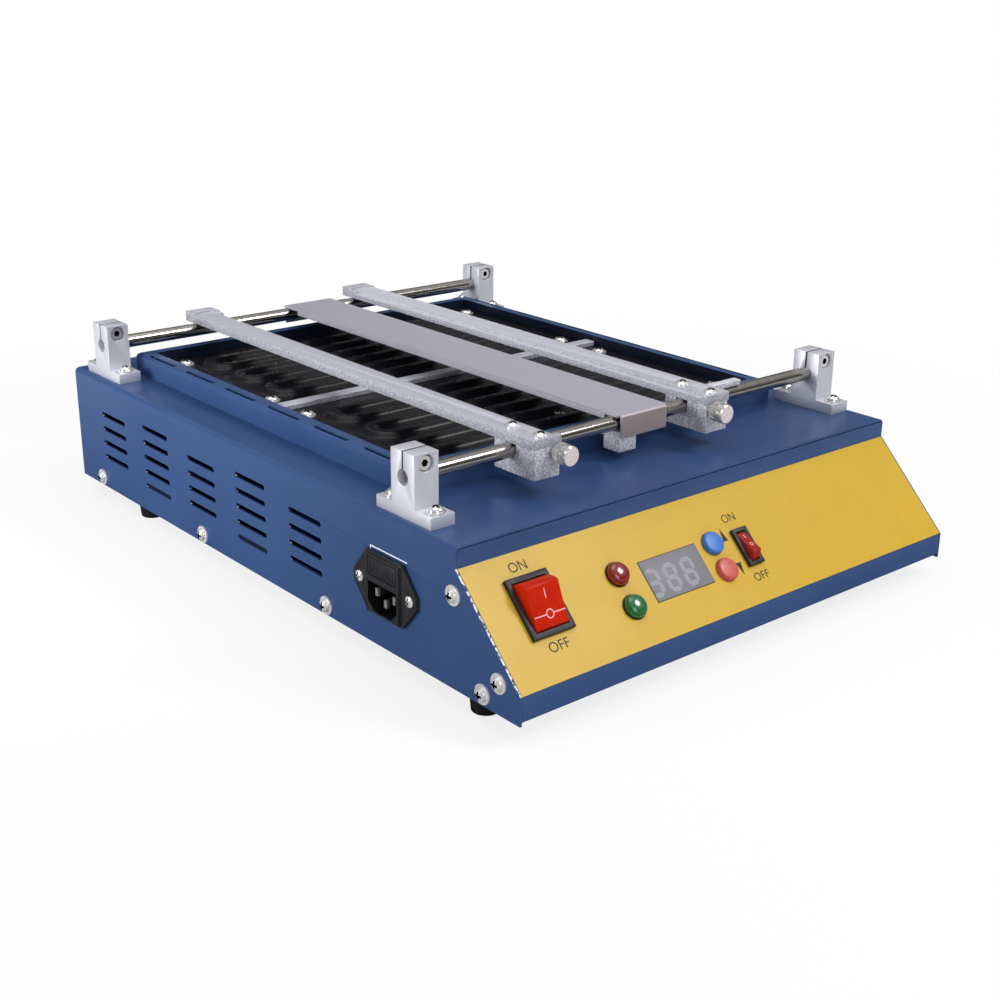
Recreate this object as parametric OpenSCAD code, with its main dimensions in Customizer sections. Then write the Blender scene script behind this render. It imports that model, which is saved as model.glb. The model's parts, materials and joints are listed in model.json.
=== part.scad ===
// Bench preheater for circuit boards: a sheet metal case with two black heater plates
// in a raised well, and board clamps that slide on two rods above it.
// The origin is on the table, under the middle of the case. The front faces -Y.

/* [Case] */
// Blue margin between the rim and the side of the case
side_margin = 25; // [22:0.5:35]
// Top plate in front of the rim
front_margin = 63.5; // [58:0.5:80]
// Top plate behind the rim
rear_margin = 35; // [33:0.5:50]
// Height of the upright lip above the sloped panel
lip_h = 10.3; // [6:0.1:16]
// Depth of the sloped panel, seen from above
slope_run = 45.6; // [42:0.2:52]
// Height of the sloped panel
slope_drop = 45.7; // [42:0.1:52]
// Height of the upright strip below the sloped panel
strip_h = 11.7; // [8:0.1:18]
// Side plates reach this far below the front panel
front_lift = 2.3; // [1.5:0.1:4]
// Thickness of the sheet metal
sheet_t = 1.2; // [0.8:0.1:1.6]
// Outer radius of the bends of the cover
bend_r = 3; // [2:0.1:4]
// Clearance between nested sheets
sheet_gap = 0.1; // [0.05:0.05:0.3]
// Open seam between the cover and the lip
seam_gap = 0.6; // [0.3:0.1:1]
// Height of the upturned edges of the floor
pan_flange_h = 18; // [14:1:24]
// Width of the front panel's side flanges
panel_flange_w = 30; // [28:0.5:36]
// Depth of the front panel's foot
panel_foot_d = 11; // [8:0.5:14]

/* [Vents] */
// Length of a vent slot
vent_len = 30; // [20:0.5:36]
// Width of a vent slot
vent_w = 3; // [2:0.1:4]
// Distance between vent columns
vent_column_pitch = 52.6; // [45:0.2:56]
// Distance between vent rows
vent_row_pitch = 9; // [7:0.1:10]
// Number of vent columns
vent_columns = 5; // [3:1:5]
// Rows in the first column, with one more in every second column
vent_rows = 4; // [2:1:4]
// Middle of the vents below the top plate
vent_drop = 35.5; // [32:0.5:38]
// Middle of the vents in front of the back of the case
vent_back = 154; // [140:0.5:165]

/* [Case screws] */
// Diameter of the case screws
case_screw_d = 4; // [3:0.1:4.4]
// Length of a case screw under its head
case_screw_len = 8; // [6:0.5:12]
// Diameter of the washer under a case screw
washer_d = 10; // [8:0.1:11]
// Thickness of that washer
washer_t = 0.8; // [0.5:0.1:1.2]
// Diameter of a case screw's head
case_head_d = 6.6; // [6:0.1:8.5]
// Height of a case screw's head
case_head_h = 2.6; // [2:0.1:3]
// Bottom row of screws above the edge of the side plate
screw_row_h = 5.4; // [5:0.1:8]
// Distance between the screws of the bottom row
screw_row_pitch = 124.5; // [110:0.5:135]
// Rearmost bottom screw in front of the back of the case
screw_row_back = 28; // [20:0.5:40]
// Play of a screw in its hole, on the radius
screw_play = 0.1; // [0.05:0.05:0.3]

/* [Feet] */
// Height of a foot below the side plates
foot_h = 10; // [6:0.5:15]
// Diameter of a foot where it stands
foot_d = 14; // [12:0.5:18]
// Feet in from the side of the case
foot_inset = 11; // [10:0.5:20]
// Front feet behind the front of the case
foot_front = 36.5; // [30:0.5:60]
// Rear feet in front of the back of the case
foot_back = 70; // [30:0.5:90]
// Diameter of a foot screw
foot_screw_d = 4; // [3:0.1:4.4]

/* [Heater well] */
// Width of the rim
rim_w = 260; // [240:1:290]
// Depth of the rim, front to back
rim_d = 283; // [260:1:310]
// Height of the rim above the top plate
rim_h = 13; // [10:0.5:16]
// Width of the rim's flat top
rim_top_w = 9; // [8:0.2:12]
// Outer radius of the rim's bend
rim_r = 3; // [2:0.1:4]
// Width of the cover's edge under the rim
rim_seat = 4; // [3:0.2:5]
// Length of a slot in the rim
rim_slot_len = 31; // [20:0.5:32]
// Width of a slot in the rim
rim_slot_w = 2.6; // [1.5:0.1:3.2]
// Middle of a slot in from the side of the rim
rim_slot_in = 3; // [3:0.1:4.5]
// Distance between slots in the rim
rim_slot_pitch = 45; // [40:0.5:50]
// Depth of the rim's inner skirt below the top plate
skirt_drop = 8; // [5:0.5:12]
// Gap between the skirt and the tray
tray_gap = 0.8; // [0.5:0.1:1.2]
// Depth of the heater tray under the top plate
tray_h = 30; // [26:0.5:34]
// Width of the flange that hangs the tray
tray_flange = 11; // [8:0.5:12]

/* [Heater plates] */
// Gap between the plates and the wall of the well
plate_margin = 1; // [0.6:0.1:3]
// Gap between the two plates
plate_split = 6; // [4:0.2:7]
// Thickness of a heater plate
plate_t = 2; // [1.5:0.1:3]
// Top of the plates above the top plate of the case
plate_rise = 7; // [5:0.1:8]
// Diameter of the heating tube that forms the ridges
tube_d = 8; // [6:0.1:9]
// Straight runs of tube on each plate
tube_runs = 6; // [4:2:8]
// Bare strip of plate in front of and behind the runs
run_edge = 11.5; // [8:0.5:14]
// Ridges end this far from the side of the plate
tube_margin = 15.5; // [15:0.5:24]
// Plate screws in from the side of the plate
plate_screw_inset = 10; // [8:0.1:11]
// Plate screws in from the long edges of the plate
plate_screw_edge = 15.2; // [9:0.2:16]
// Diameter of a plate screw
plate_screw_d = 4; // [3:0.1:4.4]
// Width of the strip between the plates
divider_w = 7.8; // [7.4:0.2:10.4]
// Thickness of that strip
divider_t = 3; // [1:0.1:3]
// Thickness of the insulation blanket
blanket_t = 18; // [10:0.5:22]
// Diameter of a heater standoff
standoff_d = 8; // [7:0.1:10]
// Gap round a standoff in the blanket, on the radius
standoff_gap = 0.5; // [0.3:0.1:1]
// Diameter of the sensor screw
sensor_screw_d = 3; // [2:0.1:3.4]
// Diameter of the thermocouple probe
probe_d = 3; // [2:0.1:4]
// Length of the thermocouple probe
probe_len = 30; // [20:1:40]

/* [Rods and supports] */
// Diameter of the rods
rod_d = 8; // [7:0.1:9]
// Height of the rods above the top plate
rod_h = 20; // [19:0.1:24]
// Front rod in front of the rim
front_rod_gap = 20; // [20:0.5:26]
// Rear rod behind the rim
rear_rod_gap = 3; // [1:0.5:6]
// Rod ends sit this far inside the supports
rod_recess = 3; // [1:0.5:5]
// Length of a support along the rod
support_l = 14; // [12:0.2:16]
// Width of a support's base across the rod
support_base_w = 42; // [40:0.2:46]
// Thickness of a support's base
support_base_t = 6; // [4:0.1:8]
// Width of a support's post
support_post_w = 18; // [17:0.2:20]
// Material of a support above the rod
support_over_rod = 8.8; // [8:0.1:12]
// Middle of a support in from the side of the case
support_inset = 11; // [10:0.2:13]
// Distance between the two base screws of a support
support_bolt_pitch = 32; // [30:0.2:34]
// Diameter of a base screw
support_bolt_d = 5; // [4:0.1:5.4]
// Width of the clamping slit
slit_w = 1; // [0.6:0.1:1.5]
// Diameter of the clamp screw
clamp_screw_d = 4; // [3:0.1:4.2]
// Play of a rod in its supports, on the radius
rod_play = 0.02; // [0.01:0.01:0.05]
// Play of the sliding pieces on the rods
slide_play = 0.05; // [0.03:0.01:0.08]

/* [Clamp bars] */
// Middle of the left bar from the middle of the case
left_bar_x = -78; // [-82:0.5:-74]
// Middle of the right bar from the middle of the case
right_bar_x = 42; // [40:0.5:50]
// Width of a bar
bar_w = 18; // [16:0.2:20]
// Thickness of a bar
bar_t = 5; // [4:0.1:6]
// Bar in front of the front rod
bar_front = 18; // [16:0.2:22]
// Bar behind the rear rod
bar_back = 11; // [9:0.2:14]
// Width of the ledge that carries a board
ledge_w = 3.2; // [2:0.1:4]
// Depth of that ledge below the top of the bar
ledge_drop = 1.6; // [1:0.1:2]
// Length of the raised pad at the rear end of a bar
pad_len = 13; // [10:0.5:16]
// Height of that pad
pad_h = 1; // [0.5:0.1:1.5]
// Width of a guide block
block_w = 16; // [15:0.2:18]
// Depth of a guide block, front to back
block_d = 30; // [29:0.2:31]
// Height of a guide block
block_h = 15.5; // [12:0.1:18]
// Thumb screw beside the middle of the bar
thumb_offset = 5; // [4.8:0.1:5.2]
// Thumb screw above the middle of the rod
thumb_rise = 1.5; // [0:0.1:1.8]
// Diameter of the thumb screw's thread
thumb_screw_d = 4; // [3:0.1:4]
// Diameter of the thumb screw's head
thumb_head_d = 10.5; // [8:0.1:11]
// Length of the thumb screw's head
thumb_head_l = 9; // [6:0.1:11]
// Length of the thumb screw's neck
thumb_neck_l = 2.5; // [1.5:0.1:4]
// Gap between the thumb screw's tip and the rod
thumb_tip_gap = 0.4; // [0.3:0.1:0.6]
// Diameter of the bar screws
bar_screw_d = 4; // [3:0.1:4]
// Distance between the two bar screws
bar_screw_pitch = 20.4; // [20:0.1:21]
// Length of the steady arm on the right bar
arm_l = 27; // [20:0.5:30]
// Width of the steady arm
arm_w = 5; // [4:0.1:6]
// Thickness of the steady arm
arm_t = 3; // [2:0.1:4]

/* [Centre channel] */
// Width of the channel
channel_w = 36.5; // [34:0.5:38]
// Thickness of the channel's sheet
channel_t = 1; // [0.8:0.1:1.2]
// Depth of the folded long edges
channel_fold = 3.5; // [3:0.1:6]
// Depth of the end flanges
channel_flange = 12; // [11:0.2:13]
// Gap between the rods and the end flanges
channel_gap = 1; // [0.6:0.1:1.5]
// Outer radius of the channel's bends
channel_r = 1.8; // [1.4:0.1:2.4]
// Side of the square hook block
hook_w = 12; // [10:0.2:14]
// Height of the hook block
hook_h = 10.7; // [8:0.1:11]
// Gap between the hook block and the rod
hook_gap = 0.3; // [0.3:0.1:0.5]

/* [Front controls] */
// Thickness of the fascia
fascia_t = 0.4; // [0.2:0.1:0.8]
// Clearance round pieces in the panel
panel_gap = 0.3; // [0.2:0.05:0.5]
// Middle of the power switch from the left side of the panel
power_x = 31; // [28:0.5:40]
// Middle of the power switch below the top of the slope
power_s = 28; // [24:0.2:34]
// Width of the power switch's bezel
power_bezel_w = 25; // [23:0.2:27]
// Length of the power switch's bezel
power_bezel_l = 30.7; // [29:0.2:33]
// Middle of the lamps from the left side of the panel
lamp_x = 81.2; // [78:0.2:86]
// Red lamp below the top of the slope
red_lamp_s = 26.5; // [22:0.2:28]
// Green lamp below the top of the slope
green_lamp_s = 44; // [42:0.2:48]
// Diameter of a lamp's lens
lamp_d = 12; // [9:0.2:13]
// Middle of the display from the left side of the panel
display_x = 116; // [114:0.5:118]
// Middle of the display below the top of the slope
display_s = 35.1; // [32:0.2:38]
// Width of the display
display_w = 39.4; // [36:0.2:42]
// Height of the display
display_l = 21.6; // [18:0.2:24]
// Middle of the buttons from the left side of the panel
button_x = 146.5; // [145.5:0.5:148.5]
// Upper button below the top of the slope
up_button_s = 27.4; // [24:0.2:28]
// Lower button below the top of the slope
down_button_s = 42.4; // [42:0.2:46]
// Diameter of a button
button_d = 12; // [10:0.2:12.4]
// Travel of a button
button_travel = 1; // [0.5:0.1:1.2]
// Middle of the heat switch from the left side of the panel
heat_x = 166.8; // [165:0.2:175]
// Middle of the heat switch below the top of the slope
heat_s = 34.8; // [32:0.2:38]
// Width of the heat switch's bezel
heat_bezel_w = 10.6; // [10:0.2:14]
// Length of the heat switch's bezel
heat_bezel_l = 20.7; // [20:0.2:23]
// Height of a switch's bezel
bezel_h = 2.2; // [1.5:0.1:3]
// Tilt of a switch's rocker from level
rocker_tilt = 20; // [14:0.5:22]
// Lean of each half of a rocker's face
rocker_dish = 3; // [0:0.5:6]
// Depth of the control board behind the panel
board_depth = 12; // [11:0.5:14]
// Thickness of the control board
board_t = 1.6; // [1:0.1:2]

/* [Mains inlet] */
// Middle of the inlet behind the lip
inlet_back = 51.3; // [44:0.5:53]
// Middle of the inlet below the top plate
inlet_drop = 36.5; // [32:0.5:38]
// Width of the inlet's flange between its tips
inlet_flange_w = 50; // [48:0.5:52]
// Height of the inlet's flange
inlet_flange_h = 32; // [31:0.5:36]
// Width of the inlet's body
inlet_body_w = 28; // [27:0.5:30]
// Thickness of the inlet's flange
inlet_flange_t = 2; // [1.5:0.1:2]
// Depth of the inlet's body behind the side plate
inlet_depth = 22; // [20:0.5:26]
// Distance between the inlet's screws
inlet_screw_pitch = 40; // [38:0.2:42]
// Diameter of the inlet's screws
inlet_screw_d = 3; // [2.5:0.1:3.4]
// Width of the fuse drawer
drawer_w = 22; // [18:0.5:23]
// Height of the fuse drawer
drawer_h = 9; // [8:0.2:9]
// Clearance round the fuse drawer
drawer_gap = 0.3; // [0.2:0.05:0.4]

/* [Inside] */
// Width of the solid-state relay
relay_w = 45; // [40:1:50]
// Depth of the solid-state relay
relay_d = 58; // [50:1:60]
// Height of the solid-state relay
relay_h = 23; // [18:1:30]
// Width of the transformer's core
core_w = 48; // [40:1:56]
// Depth of the transformer's core
core_d = 18; // [14:1:24]
// Height of the transformer's core
core_h = 40; // [32:1:44]
// Length of the terminal strip
terminal_l = 52; // [40:1:60]

/* [Hidden] */
$fn = 48;
eps = 0.01;
through = 1;
rim_x = rim_w / 2;
rim_y = rim_d / 2;
case_w = rim_w + 2 * side_margin;
case_d = slope_run + front_margin + rim_d + rear_margin;
case_h = lip_h + slope_drop + strip_h + front_lift;
half_w = case_w / 2;
half_d = case_d / 2;
side_z = foot_h;
top_z = side_z + case_h;
inner_x = half_w - sheet_t;
panel_x = inner_x - sheet_gap;
lip_y = -half_d + slope_run;
slope_z = top_z - lip_h;
slope_foot_z = slope_z - slope_drop;
front_z = side_z + front_lift;
floor_top = front_z - sheet_gap;
floor_z = floor_top - sheet_t;
slope_a = atan2(slope_drop, slope_run);
slope_len = sqrt(pow(slope_run, 2) + pow(slope_drop, 2));
mitre = sheet_t * (1 / cos(slope_a) - tan(slope_a));
cover_z = top_z - sheet_t;
lip_top_z = cover_z - seam_gap;
well_y = half_d - rear_margin - rim_y;
rim_z = top_z + rim_h;
well_x = rim_x - rim_top_w;
well_half_y = rim_y - rim_top_w;
tray_x = well_x + sheet_t + tray_gap;
tray_y = well_half_y + sheet_t + tray_gap;
tray_floor_z = cover_z - tray_h;
plate_w = 2 * (well_x - plate_margin);
plate_d = well_half_y - plate_margin - plate_split / 2;
plate_top = top_z + plate_rise;
plate_z = plate_top - plate_t;
plate_y = (plate_split + plate_d) / 2;
pitch_step = 0.02;
run_pitch = pitch_step * round((plate_d - 2 * run_edge) / tube_runs / pitch_step);
run_x = plate_w / 2 - tube_margin - tube_d / 2 - run_pitch / 2;
plate_screw_x = plate_w / 2 - plate_screw_inset;
plate_screw_y = plate_d / 2 - plate_screw_edge;
sensor_y = well_y - plate_y - 2 * run_pitch;
front_rod_y = well_y - rim_y - front_rod_gap;
rear_rod_y = well_y + rim_y + rear_rod_gap;
rod_z = top_z + rod_h;
rod_r = rod_d / 2;
support_x = half_w - support_inset;
support_h = rod_h + rod_r + support_over_rod;
support_bolt_play = 0.25;
clamp_h = rod_h + rod_r + support_over_rod * 0.42;
clamp_seat = 0.27 * support_post_w;
thread_end = 1;
rod_len = 2 * (support_x + support_l / 2 - rod_recess);
bar_z = rod_z + rod_r + slide_play;
bar_top = bar_z + bar_t;
bar_y0 = front_rod_y - bar_front;
bar_y1 = rear_rod_y + bar_back;
rabbet_y0 = bar_y0 + ledge_w;
rabbet_y1 = bar_y1 - pad_len - 2 * ledge_w;
bar_screw_grip = 9;
bar_screw_len = bar_t + bar_screw_grip;
bar_head_d = 1.9 * bar_screw_d;
bar_head_h = 0.55 * bar_screw_d;
plate_head_d = 2 * plate_screw_d;
plate_head_h = 0.6 * plate_screw_d;
plate_washer_d = 2.5 * plate_screw_d;
plate_screw_grip = 8;
plate_screw_len = plate_t + plate_screw_grip;
sensor_eye_gap = 0.4;
sensor_eye_d = min(2.2 * sensor_screw_d, run_pitch - tube_d - 2 * sensor_eye_gap);
sensor_nut_h = 2.4;
probe_eye_t = 1;
support_head_d = 1.5 * support_bolt_d;
support_head_h = 0.56 * support_bolt_d;
support_washer_d = 1.92 * support_bolt_d;
support_nut_h = 0.8 * support_bolt_d;
support_nut_d = 1.84 * support_bolt_d;
support_bolt_len = support_base_t + sheet_t + support_nut_h + thread_end;
foot_head_d = 2 * foot_screw_d;
foot_head_h = 0.6 * foot_screw_d;
foot_recess = 1.6;
foot_head_room = foot_head_h + foot_recess;
foot_nut_h = 0.8 * foot_screw_d;
nut_play = 0.02;
blanket_gap = 1;
screw_row_step = 0.6;
slope_screw_lift = 1.8;
lip_screw_back = 1;
thumb_gap = 0.3;
arm_lift = 0.3;
channel_y0 = front_rod_y - rod_r - channel_gap - channel_t;
channel_y1 = rear_rod_y + rod_r + channel_gap + channel_t;
channel_top = bar_z + channel_t;
channel_fold_y0 = front_rod_y + rod_r + channel_gap;
channel_fold_y1 = rear_rod_y - rod_r - 2 * channel_gap - hook_w / 2;
hook_x = -channel_w / 2 + hook_w / 2;
hook_top = rod_z - rod_r - hook_gap;
fascia_x = -panel_x;
fascia_edge = fascia_t * tan(slope_a);
board_side = 7;
board_edge = 3;
board_foot = 8;
board_x0 = lamp_x - lamp_d / 2 - board_side;
board_x1 = button_x + button_d / 2 + board_edge;
board_s0 = 14;
board_s1 = slope_len - board_foot;
board_z = -board_depth;
pillar_d = 5;
pillar_inset = 4;
power_bezel_lip = 1.5;
heat_bezel_lip = 1;
rocker_wall = 1.4;
power_end_wall = 1.6;
heat_end_wall = 1.4;
power_rocker_rise = 4.4;
heat_rocker_rise = 1.9;
power_body_w = power_bezel_w - 2 * power_bezel_lip;
power_body_l = power_bezel_l - 2 * power_bezel_lip;
power_body_h = 22;
heat_body_w = heat_bezel_w - 2 * heat_bezel_lip;
heat_body_l = heat_bezel_l - 2 * heat_bezel_lip;
heat_body_h = 16;
power_rocker_w = power_body_w - 2 * rocker_wall;
power_rocker_r = power_body_l / 2 - power_end_wall;
heat_rocker_w = heat_body_w - 2 * rocker_wall;
heat_rocker_r = heat_body_l / 2 - heat_end_wall;
power_rocker_h = fascia_t + bezel_h + power_rocker_rise;
heat_rocker_h = fascia_t + bezel_h + heat_rocker_rise;
rocker_depth = 7;
rocker_pin_d = 2.4;
rocker_pin_l = 0.9;
rocker_pin_play = 0.06;
lamp_lip = 1.2;
lamp_barrel_d = lamp_d - 2 * lamp_lip;
lamp_ring_t = 0.4;
lamp_ring_h = 0.8;
button_rise = 3.2;
button_chamfer = 0.8;
button_flange_over = 0.8;
button_flange_t = 1;
button_stem_d = 3.6;
button_stem_play = 0.08;
push_switch_w = 10;
push_switch_h = 4.5;
push_depth = 1;
display_rise = 0.5;
inlet_y = lip_y + inlet_back;
inlet_z = top_z - inlet_drop;
inlet_collar_t = washer_t + case_head_h - inlet_flange_t;
inlet_collar_step = 1;
inlet_collar_w = inlet_body_w - 2 * inlet_collar_step;
inlet_collar_h = inlet_flange_h - 2 * inlet_collar_step;
inlet_shoulder = 0.5;
inlet_tip_h = 6;
inlet_screw_grip = 6;
inlet_head_d = 1.85 * inlet_screw_d;
inlet_out = inlet_flange_t + inlet_collar_t;
inlet_wall = 2.6;
drawer_depth = 16;
drawer_wall = 1.3;
drawer_z = inlet_flange_h / 2 - drawer_h / 2 - inlet_wall;
drawer_pocket = drawer_h - 2 * drawer_wall;
drawer_pocket_z = drawer_depth - 2 * drawer_wall - drawer_pocket;
socket_w = 23;
socket_h = 15;
socket_edge = 2;
socket_z = -inlet_flange_h / 2 + socket_h / 2 + socket_edge;
socket_depth = 16;
socket_corner = 4.5;
pin_pitch = 7;
pin_w = 4;
pin_t = 2;
pin_l = 14;
fuse_d = 5;
fuse_l = 18;
bay_y = lip_y + front_margin / 2;
relay_inset = 63.7;
relay_x = panel_x - relay_inset;
relay_notch = 10;
transformer_x = -22;
terminal_inset = 68.7;
terminal_x = -panel_x + terminal_inset;
terminal_w = 16;
terminal_h = 12;
terminal_ways = 6;
earth_inset = 31.7;
earth_x = -panel_x + earth_inset;
earth_d = 4;
blue = "#24407c";
gold = "#dcb545";
alloy = "#c9cbd0";
steel = "#b9bcc0";
black = "#1b1c1f";
red = "#c8281e";

// Shapes that repeat

module along_x(w) {
  translate([-w / 2, 0, 0]) rotate([90, 0, 90]) linear_extrude(w) children();
}

module along_y(y0, y1) {
  translate([0, y1, 0]) rotate([90, 0, 0]) linear_extrude(y1 - y0) children();
}

module block(x, y, z) {
  translate([-x / 2, -y / 2, 0]) cube([x, y, z]);
}

// Flat outline with two round upper corners
module arch(w, z0, z1, r) {
  translate([-w / 2, z0]) square([w, z1 - z0 - r]);
  translate([-w / 2 + r, z0]) square([w - 2 * r, z1 - z0]);
  for (side = [-1, 1]) translate([side * (w / 2 - r), z1 - r]) circle(r);
}

// Flat slot with round ends, along the first axis
module slot(len, w) {
  square([len - w, w], center = true);
  for (side = [-1, 1]) translate([side * (len - w) / 2, 0]) circle(d = w);
}

// Pan head screw: its seat is at zero, its head stands up, its shank goes down
module pan_screw(d, len, head_d, head_h, washer_d = 0, washer_t = 0) {
  dome_r = (pow(head_d / 2, 2) + pow(head_h * 0.7, 2)) / (1.4 * head_h);
  cross_w = head_d * 0.2;
  cross_l = head_d * 0.62;
  translate([0, 0, -len]) cylinder(d = d, h = len + eps);
  if (washer_t > 0) cylinder(d = washer_d, h = washer_t);
  translate([0, 0, washer_t]) difference() {
    intersection() {
      cylinder(d = head_d, h = head_h);
      translate([0, 0, head_h - dome_r]) sphere(dome_r);
    }
    for (turn = [0, 90]) rotate(turn) translate([0, 0, head_h * 0.35]) block(cross_l, cross_w, head_h);
  }
}

// Frame on the sloped panel: X to the right, Y up the slope, Z out of the panel
module on_slope(x, s) {
  translate([fascia_x + x, lip_y - s * cos(slope_a), slope_z - s * sin(slope_a)])
    rotate([slope_a, 0, 0]) children();
}

// Frame on the left side plate at the inlet: X along the case to the front, Y up, Z out of the case
module on_inlet() {
  translate([-half_w, inlet_y, inlet_z]) rotate([90, 0, -90]) children();
}

// Places of things that repeat

module at_supports() {
  for (x = [-support_x, support_x], y = [front_rod_y, rear_rod_y]) translate([x, y, top_z]) children();
}

module at_support_bolts() {
  at_supports() for (side = [-1, 1]) translate([0, side * support_bolt_pitch / 2, 0]) children();
}

module at_plate_screws() {
  for (plate = [-1, 1], x = [-1, 1], y = [-1, 1])
    translate([x * plate_screw_x, well_y + plate * plate_y + y * plate_screw_y, 0]) children();
}

module at_feet() {
  for (x = [-1, 1], y = [-half_d + foot_front, half_d - foot_back])
    translate([x * (half_w - foot_inset), y, 0]) children();
}

case_screw_places = [
  [half_d - screw_row_back, side_z + screw_row_h],
  [half_d - screw_row_back - screw_row_pitch, side_z + screw_row_h],
  [half_d - screw_row_back - 2 * screw_row_pitch, side_z + screw_row_h],
  [-half_d + 0.85 * panel_flange_w, side_z + screw_row_h + screw_row_step],
  [-half_d + 0.48 * panel_flange_w, slope_foot_z + slope_screw_lift],
  [lip_y + lip_screw_back, slope_foot_z + 0.72 * slope_drop]
];

// Each place has the plate's outer face at zero, with Z out of the case
module at_case_screws() {
  for (side = [-1, 1], place = case_screw_places)
    translate([side * half_w, place[0], place[1]]) rotate([0, side * 90, 0]) children();
}

// All openings of the sloped panel, through its fascia and its sheet
module slope_openings() {
  deep = sheet_t + fascia_t + 2 * through;
  low = -sheet_t - through;
  on_slope(power_x, power_s) translate([0, 0, low])
    block(power_body_w + 2 * panel_gap, power_body_l + 2 * panel_gap, deep);
  on_slope(heat_x, heat_s) translate([0, 0, low])
    block(heat_body_w + 2 * panel_gap, heat_body_l + 2 * panel_gap, deep);
  on_slope(display_x, display_s) translate([0, 0, low])
    block(display_w + 2 * panel_gap, display_l + 2 * panel_gap, deep);
  for (s = [red_lamp_s, green_lamp_s]) on_slope(lamp_x, s) translate([0, 0, low])
    cylinder(d = lamp_barrel_d + 2 * panel_gap, h = deep);
  for (s = [up_button_s, down_button_s]) on_slope(button_x, s) translate([0, 0, low])
    cylinder(d = button_d + 2 * panel_gap, h = deep);
}

// Case

module side_outline() {
  polygon([
    [half_d, side_z], [half_d, top_z], [lip_y, top_z],
    [lip_y, slope_z], [-half_d, slope_foot_z], [-half_d, side_z]
  ]);
}

module vents() {
  middle = (vent_columns - 1) / 2;
  for (column = [0 : vent_columns - 1]) {
    rows = vent_rows + column % 2;
    for (row = [0 : rows - 1])
      translate([
        half_d - vent_back + (column - middle) * vent_column_pitch,
        top_z - vent_drop + (row - (rows - 1) / 2) * vent_row_pitch
      ]) slot(vent_len, vent_w);
  }
}

module top_cover() {
  color(blue) difference() {
    intersection() {
      along_y(-half_d, half_d) difference() {
        arch(case_w, side_z, top_z, bend_r);
        arch(2 * inner_x, side_z - through, cover_z, bend_r - sheet_t);
      }
      along_x(case_w) side_outline();
    }
    translate([0, well_y, cover_z - through])
      block(2 * (rim_x - rim_seat), 2 * (rim_y - rim_seat), sheet_t + 2 * through);
    along_x(case_w + 2 * through) vents();
    at_support_bolts() translate([0, 0, -sheet_t - through])
      cylinder(d = support_bolt_d + 2 * screw_play, h = sheet_t + 2 * through);
    at_case_screws() translate([0, 0, -sheet_t - through])
      cylinder(d = case_screw_d + 2 * screw_play, h = sheet_t + 2 * through);
    on_inlet() translate([0, 0, -sheet_t - through]) {
      block(inlet_body_w + 2 * sheet_gap, inlet_collar_h + 2 * sheet_gap, sheet_t + 2 * through);
      for (side = [-1, 1]) translate([side * inlet_screw_pitch / 2, 0, 0])
        cylinder(d = inlet_screw_d + 2 * screw_play, h = sheet_t + 2 * through);
    }
  }
}

module base_pan() {
  flange_y0 = -half_d + sheet_t + panel_flange_w + pan_flange_h + sheet_gap;
  back_y = half_d - sheet_t;
  front_y = -half_d + sheet_t + sheet_gap;
  color(blue) difference() {
    union() {
      translate([-panel_x, front_y, floor_z]) cube([2 * panel_x, half_d - front_y, sheet_t]);
      along_y(back_y, half_d) arch(2 * panel_x, floor_z, cover_z - sheet_gap, bend_r - sheet_t);
      for (x = [-panel_x, panel_x - sheet_t])
        translate([x, flange_y0, floor_z]) cube([sheet_t, half_d - flange_y0, pan_flange_h]);
    }
    at_case_screws() translate([0, 0, -case_screw_len])
      cylinder(d = case_screw_d + 2 * screw_play, h = case_screw_len);
    at_feet() translate([0, 0, floor_z - through])
      cylinder(d = foot_screw_d + 2 * screw_play, h = sheet_t + 2 * through);
    translate([earth_x, bay_y, floor_z - through])
      cylinder(d = earth_d + 2 * screw_play, h = sheet_t + 2 * through);
    on_inlet() translate([0, 0, -inlet_depth])
      block(inlet_body_w + 2 * panel_gap, inlet_collar_h + 2 * panel_gap, inlet_depth);
  }
}

module panel_outline() {
  foot_y = -half_d + sheet_t + panel_foot_d;
  polygon([
    [lip_y, lip_top_z], [lip_y, slope_z], [-half_d, slope_foot_z], [-half_d, front_z],
    [foot_y, front_z], [foot_y, front_z + sheet_t], [-half_d + sheet_t, front_z + sheet_t],
    [-half_d + sheet_t, slope_foot_z - mitre], [lip_y + sheet_t, slope_z - mitre],
    [lip_y + sheet_t, lip_top_z]
  ]);
}

module panel_flange_outline() {
  low_y = -half_d + panel_flange_w;
  high_y = lip_y + panel_flange_w / 2;
  polygon([
    [lip_y, lip_top_z], [lip_y, slope_z], [-half_d, slope_foot_z], [-half_d, front_z],
    [low_y, front_z], [low_y, slope_foot_z], [high_y, slope_z], [high_y, lip_top_z]
  ]);
}

module front_panel() {
  color(blue) difference() {
    intersection() {
      union() {
        along_x(2 * panel_x) panel_outline();
        for (x = [-panel_x + sheet_t / 2, panel_x - sheet_t / 2])
          translate([x, 0, 0]) along_x(sheet_t) panel_flange_outline();
      }
      along_y(-half_d, lip_y + panel_flange_w) arch(2 * panel_x, front_z, lip_top_z, bend_r - sheet_t);
    }
    slope_openings();
    at_case_screws() translate([0, 0, -case_screw_len])
      cylinder(d = case_screw_d + 2 * screw_play, h = case_screw_len);
  }
}

module gold_fascia() {
  color(gold) difference() {
    on_slope(panel_x, slope_len / 2) block(2 * panel_x, slope_len - 2 * fascia_edge, fascia_t);
    slope_openings();
  }
}

// Heater well

module rim_dome(gap, z0, z1, r) {
  intersection() {
    along_y(well_y - rim_y + gap, well_y + rim_y - gap) arch(rim_w - 2 * gap, z0, z1, r);
    translate([0, well_y, 0]) along_x(rim_w - 2 * gap) arch(rim_d - 2 * gap, z0, z1, r);
  }
}

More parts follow.
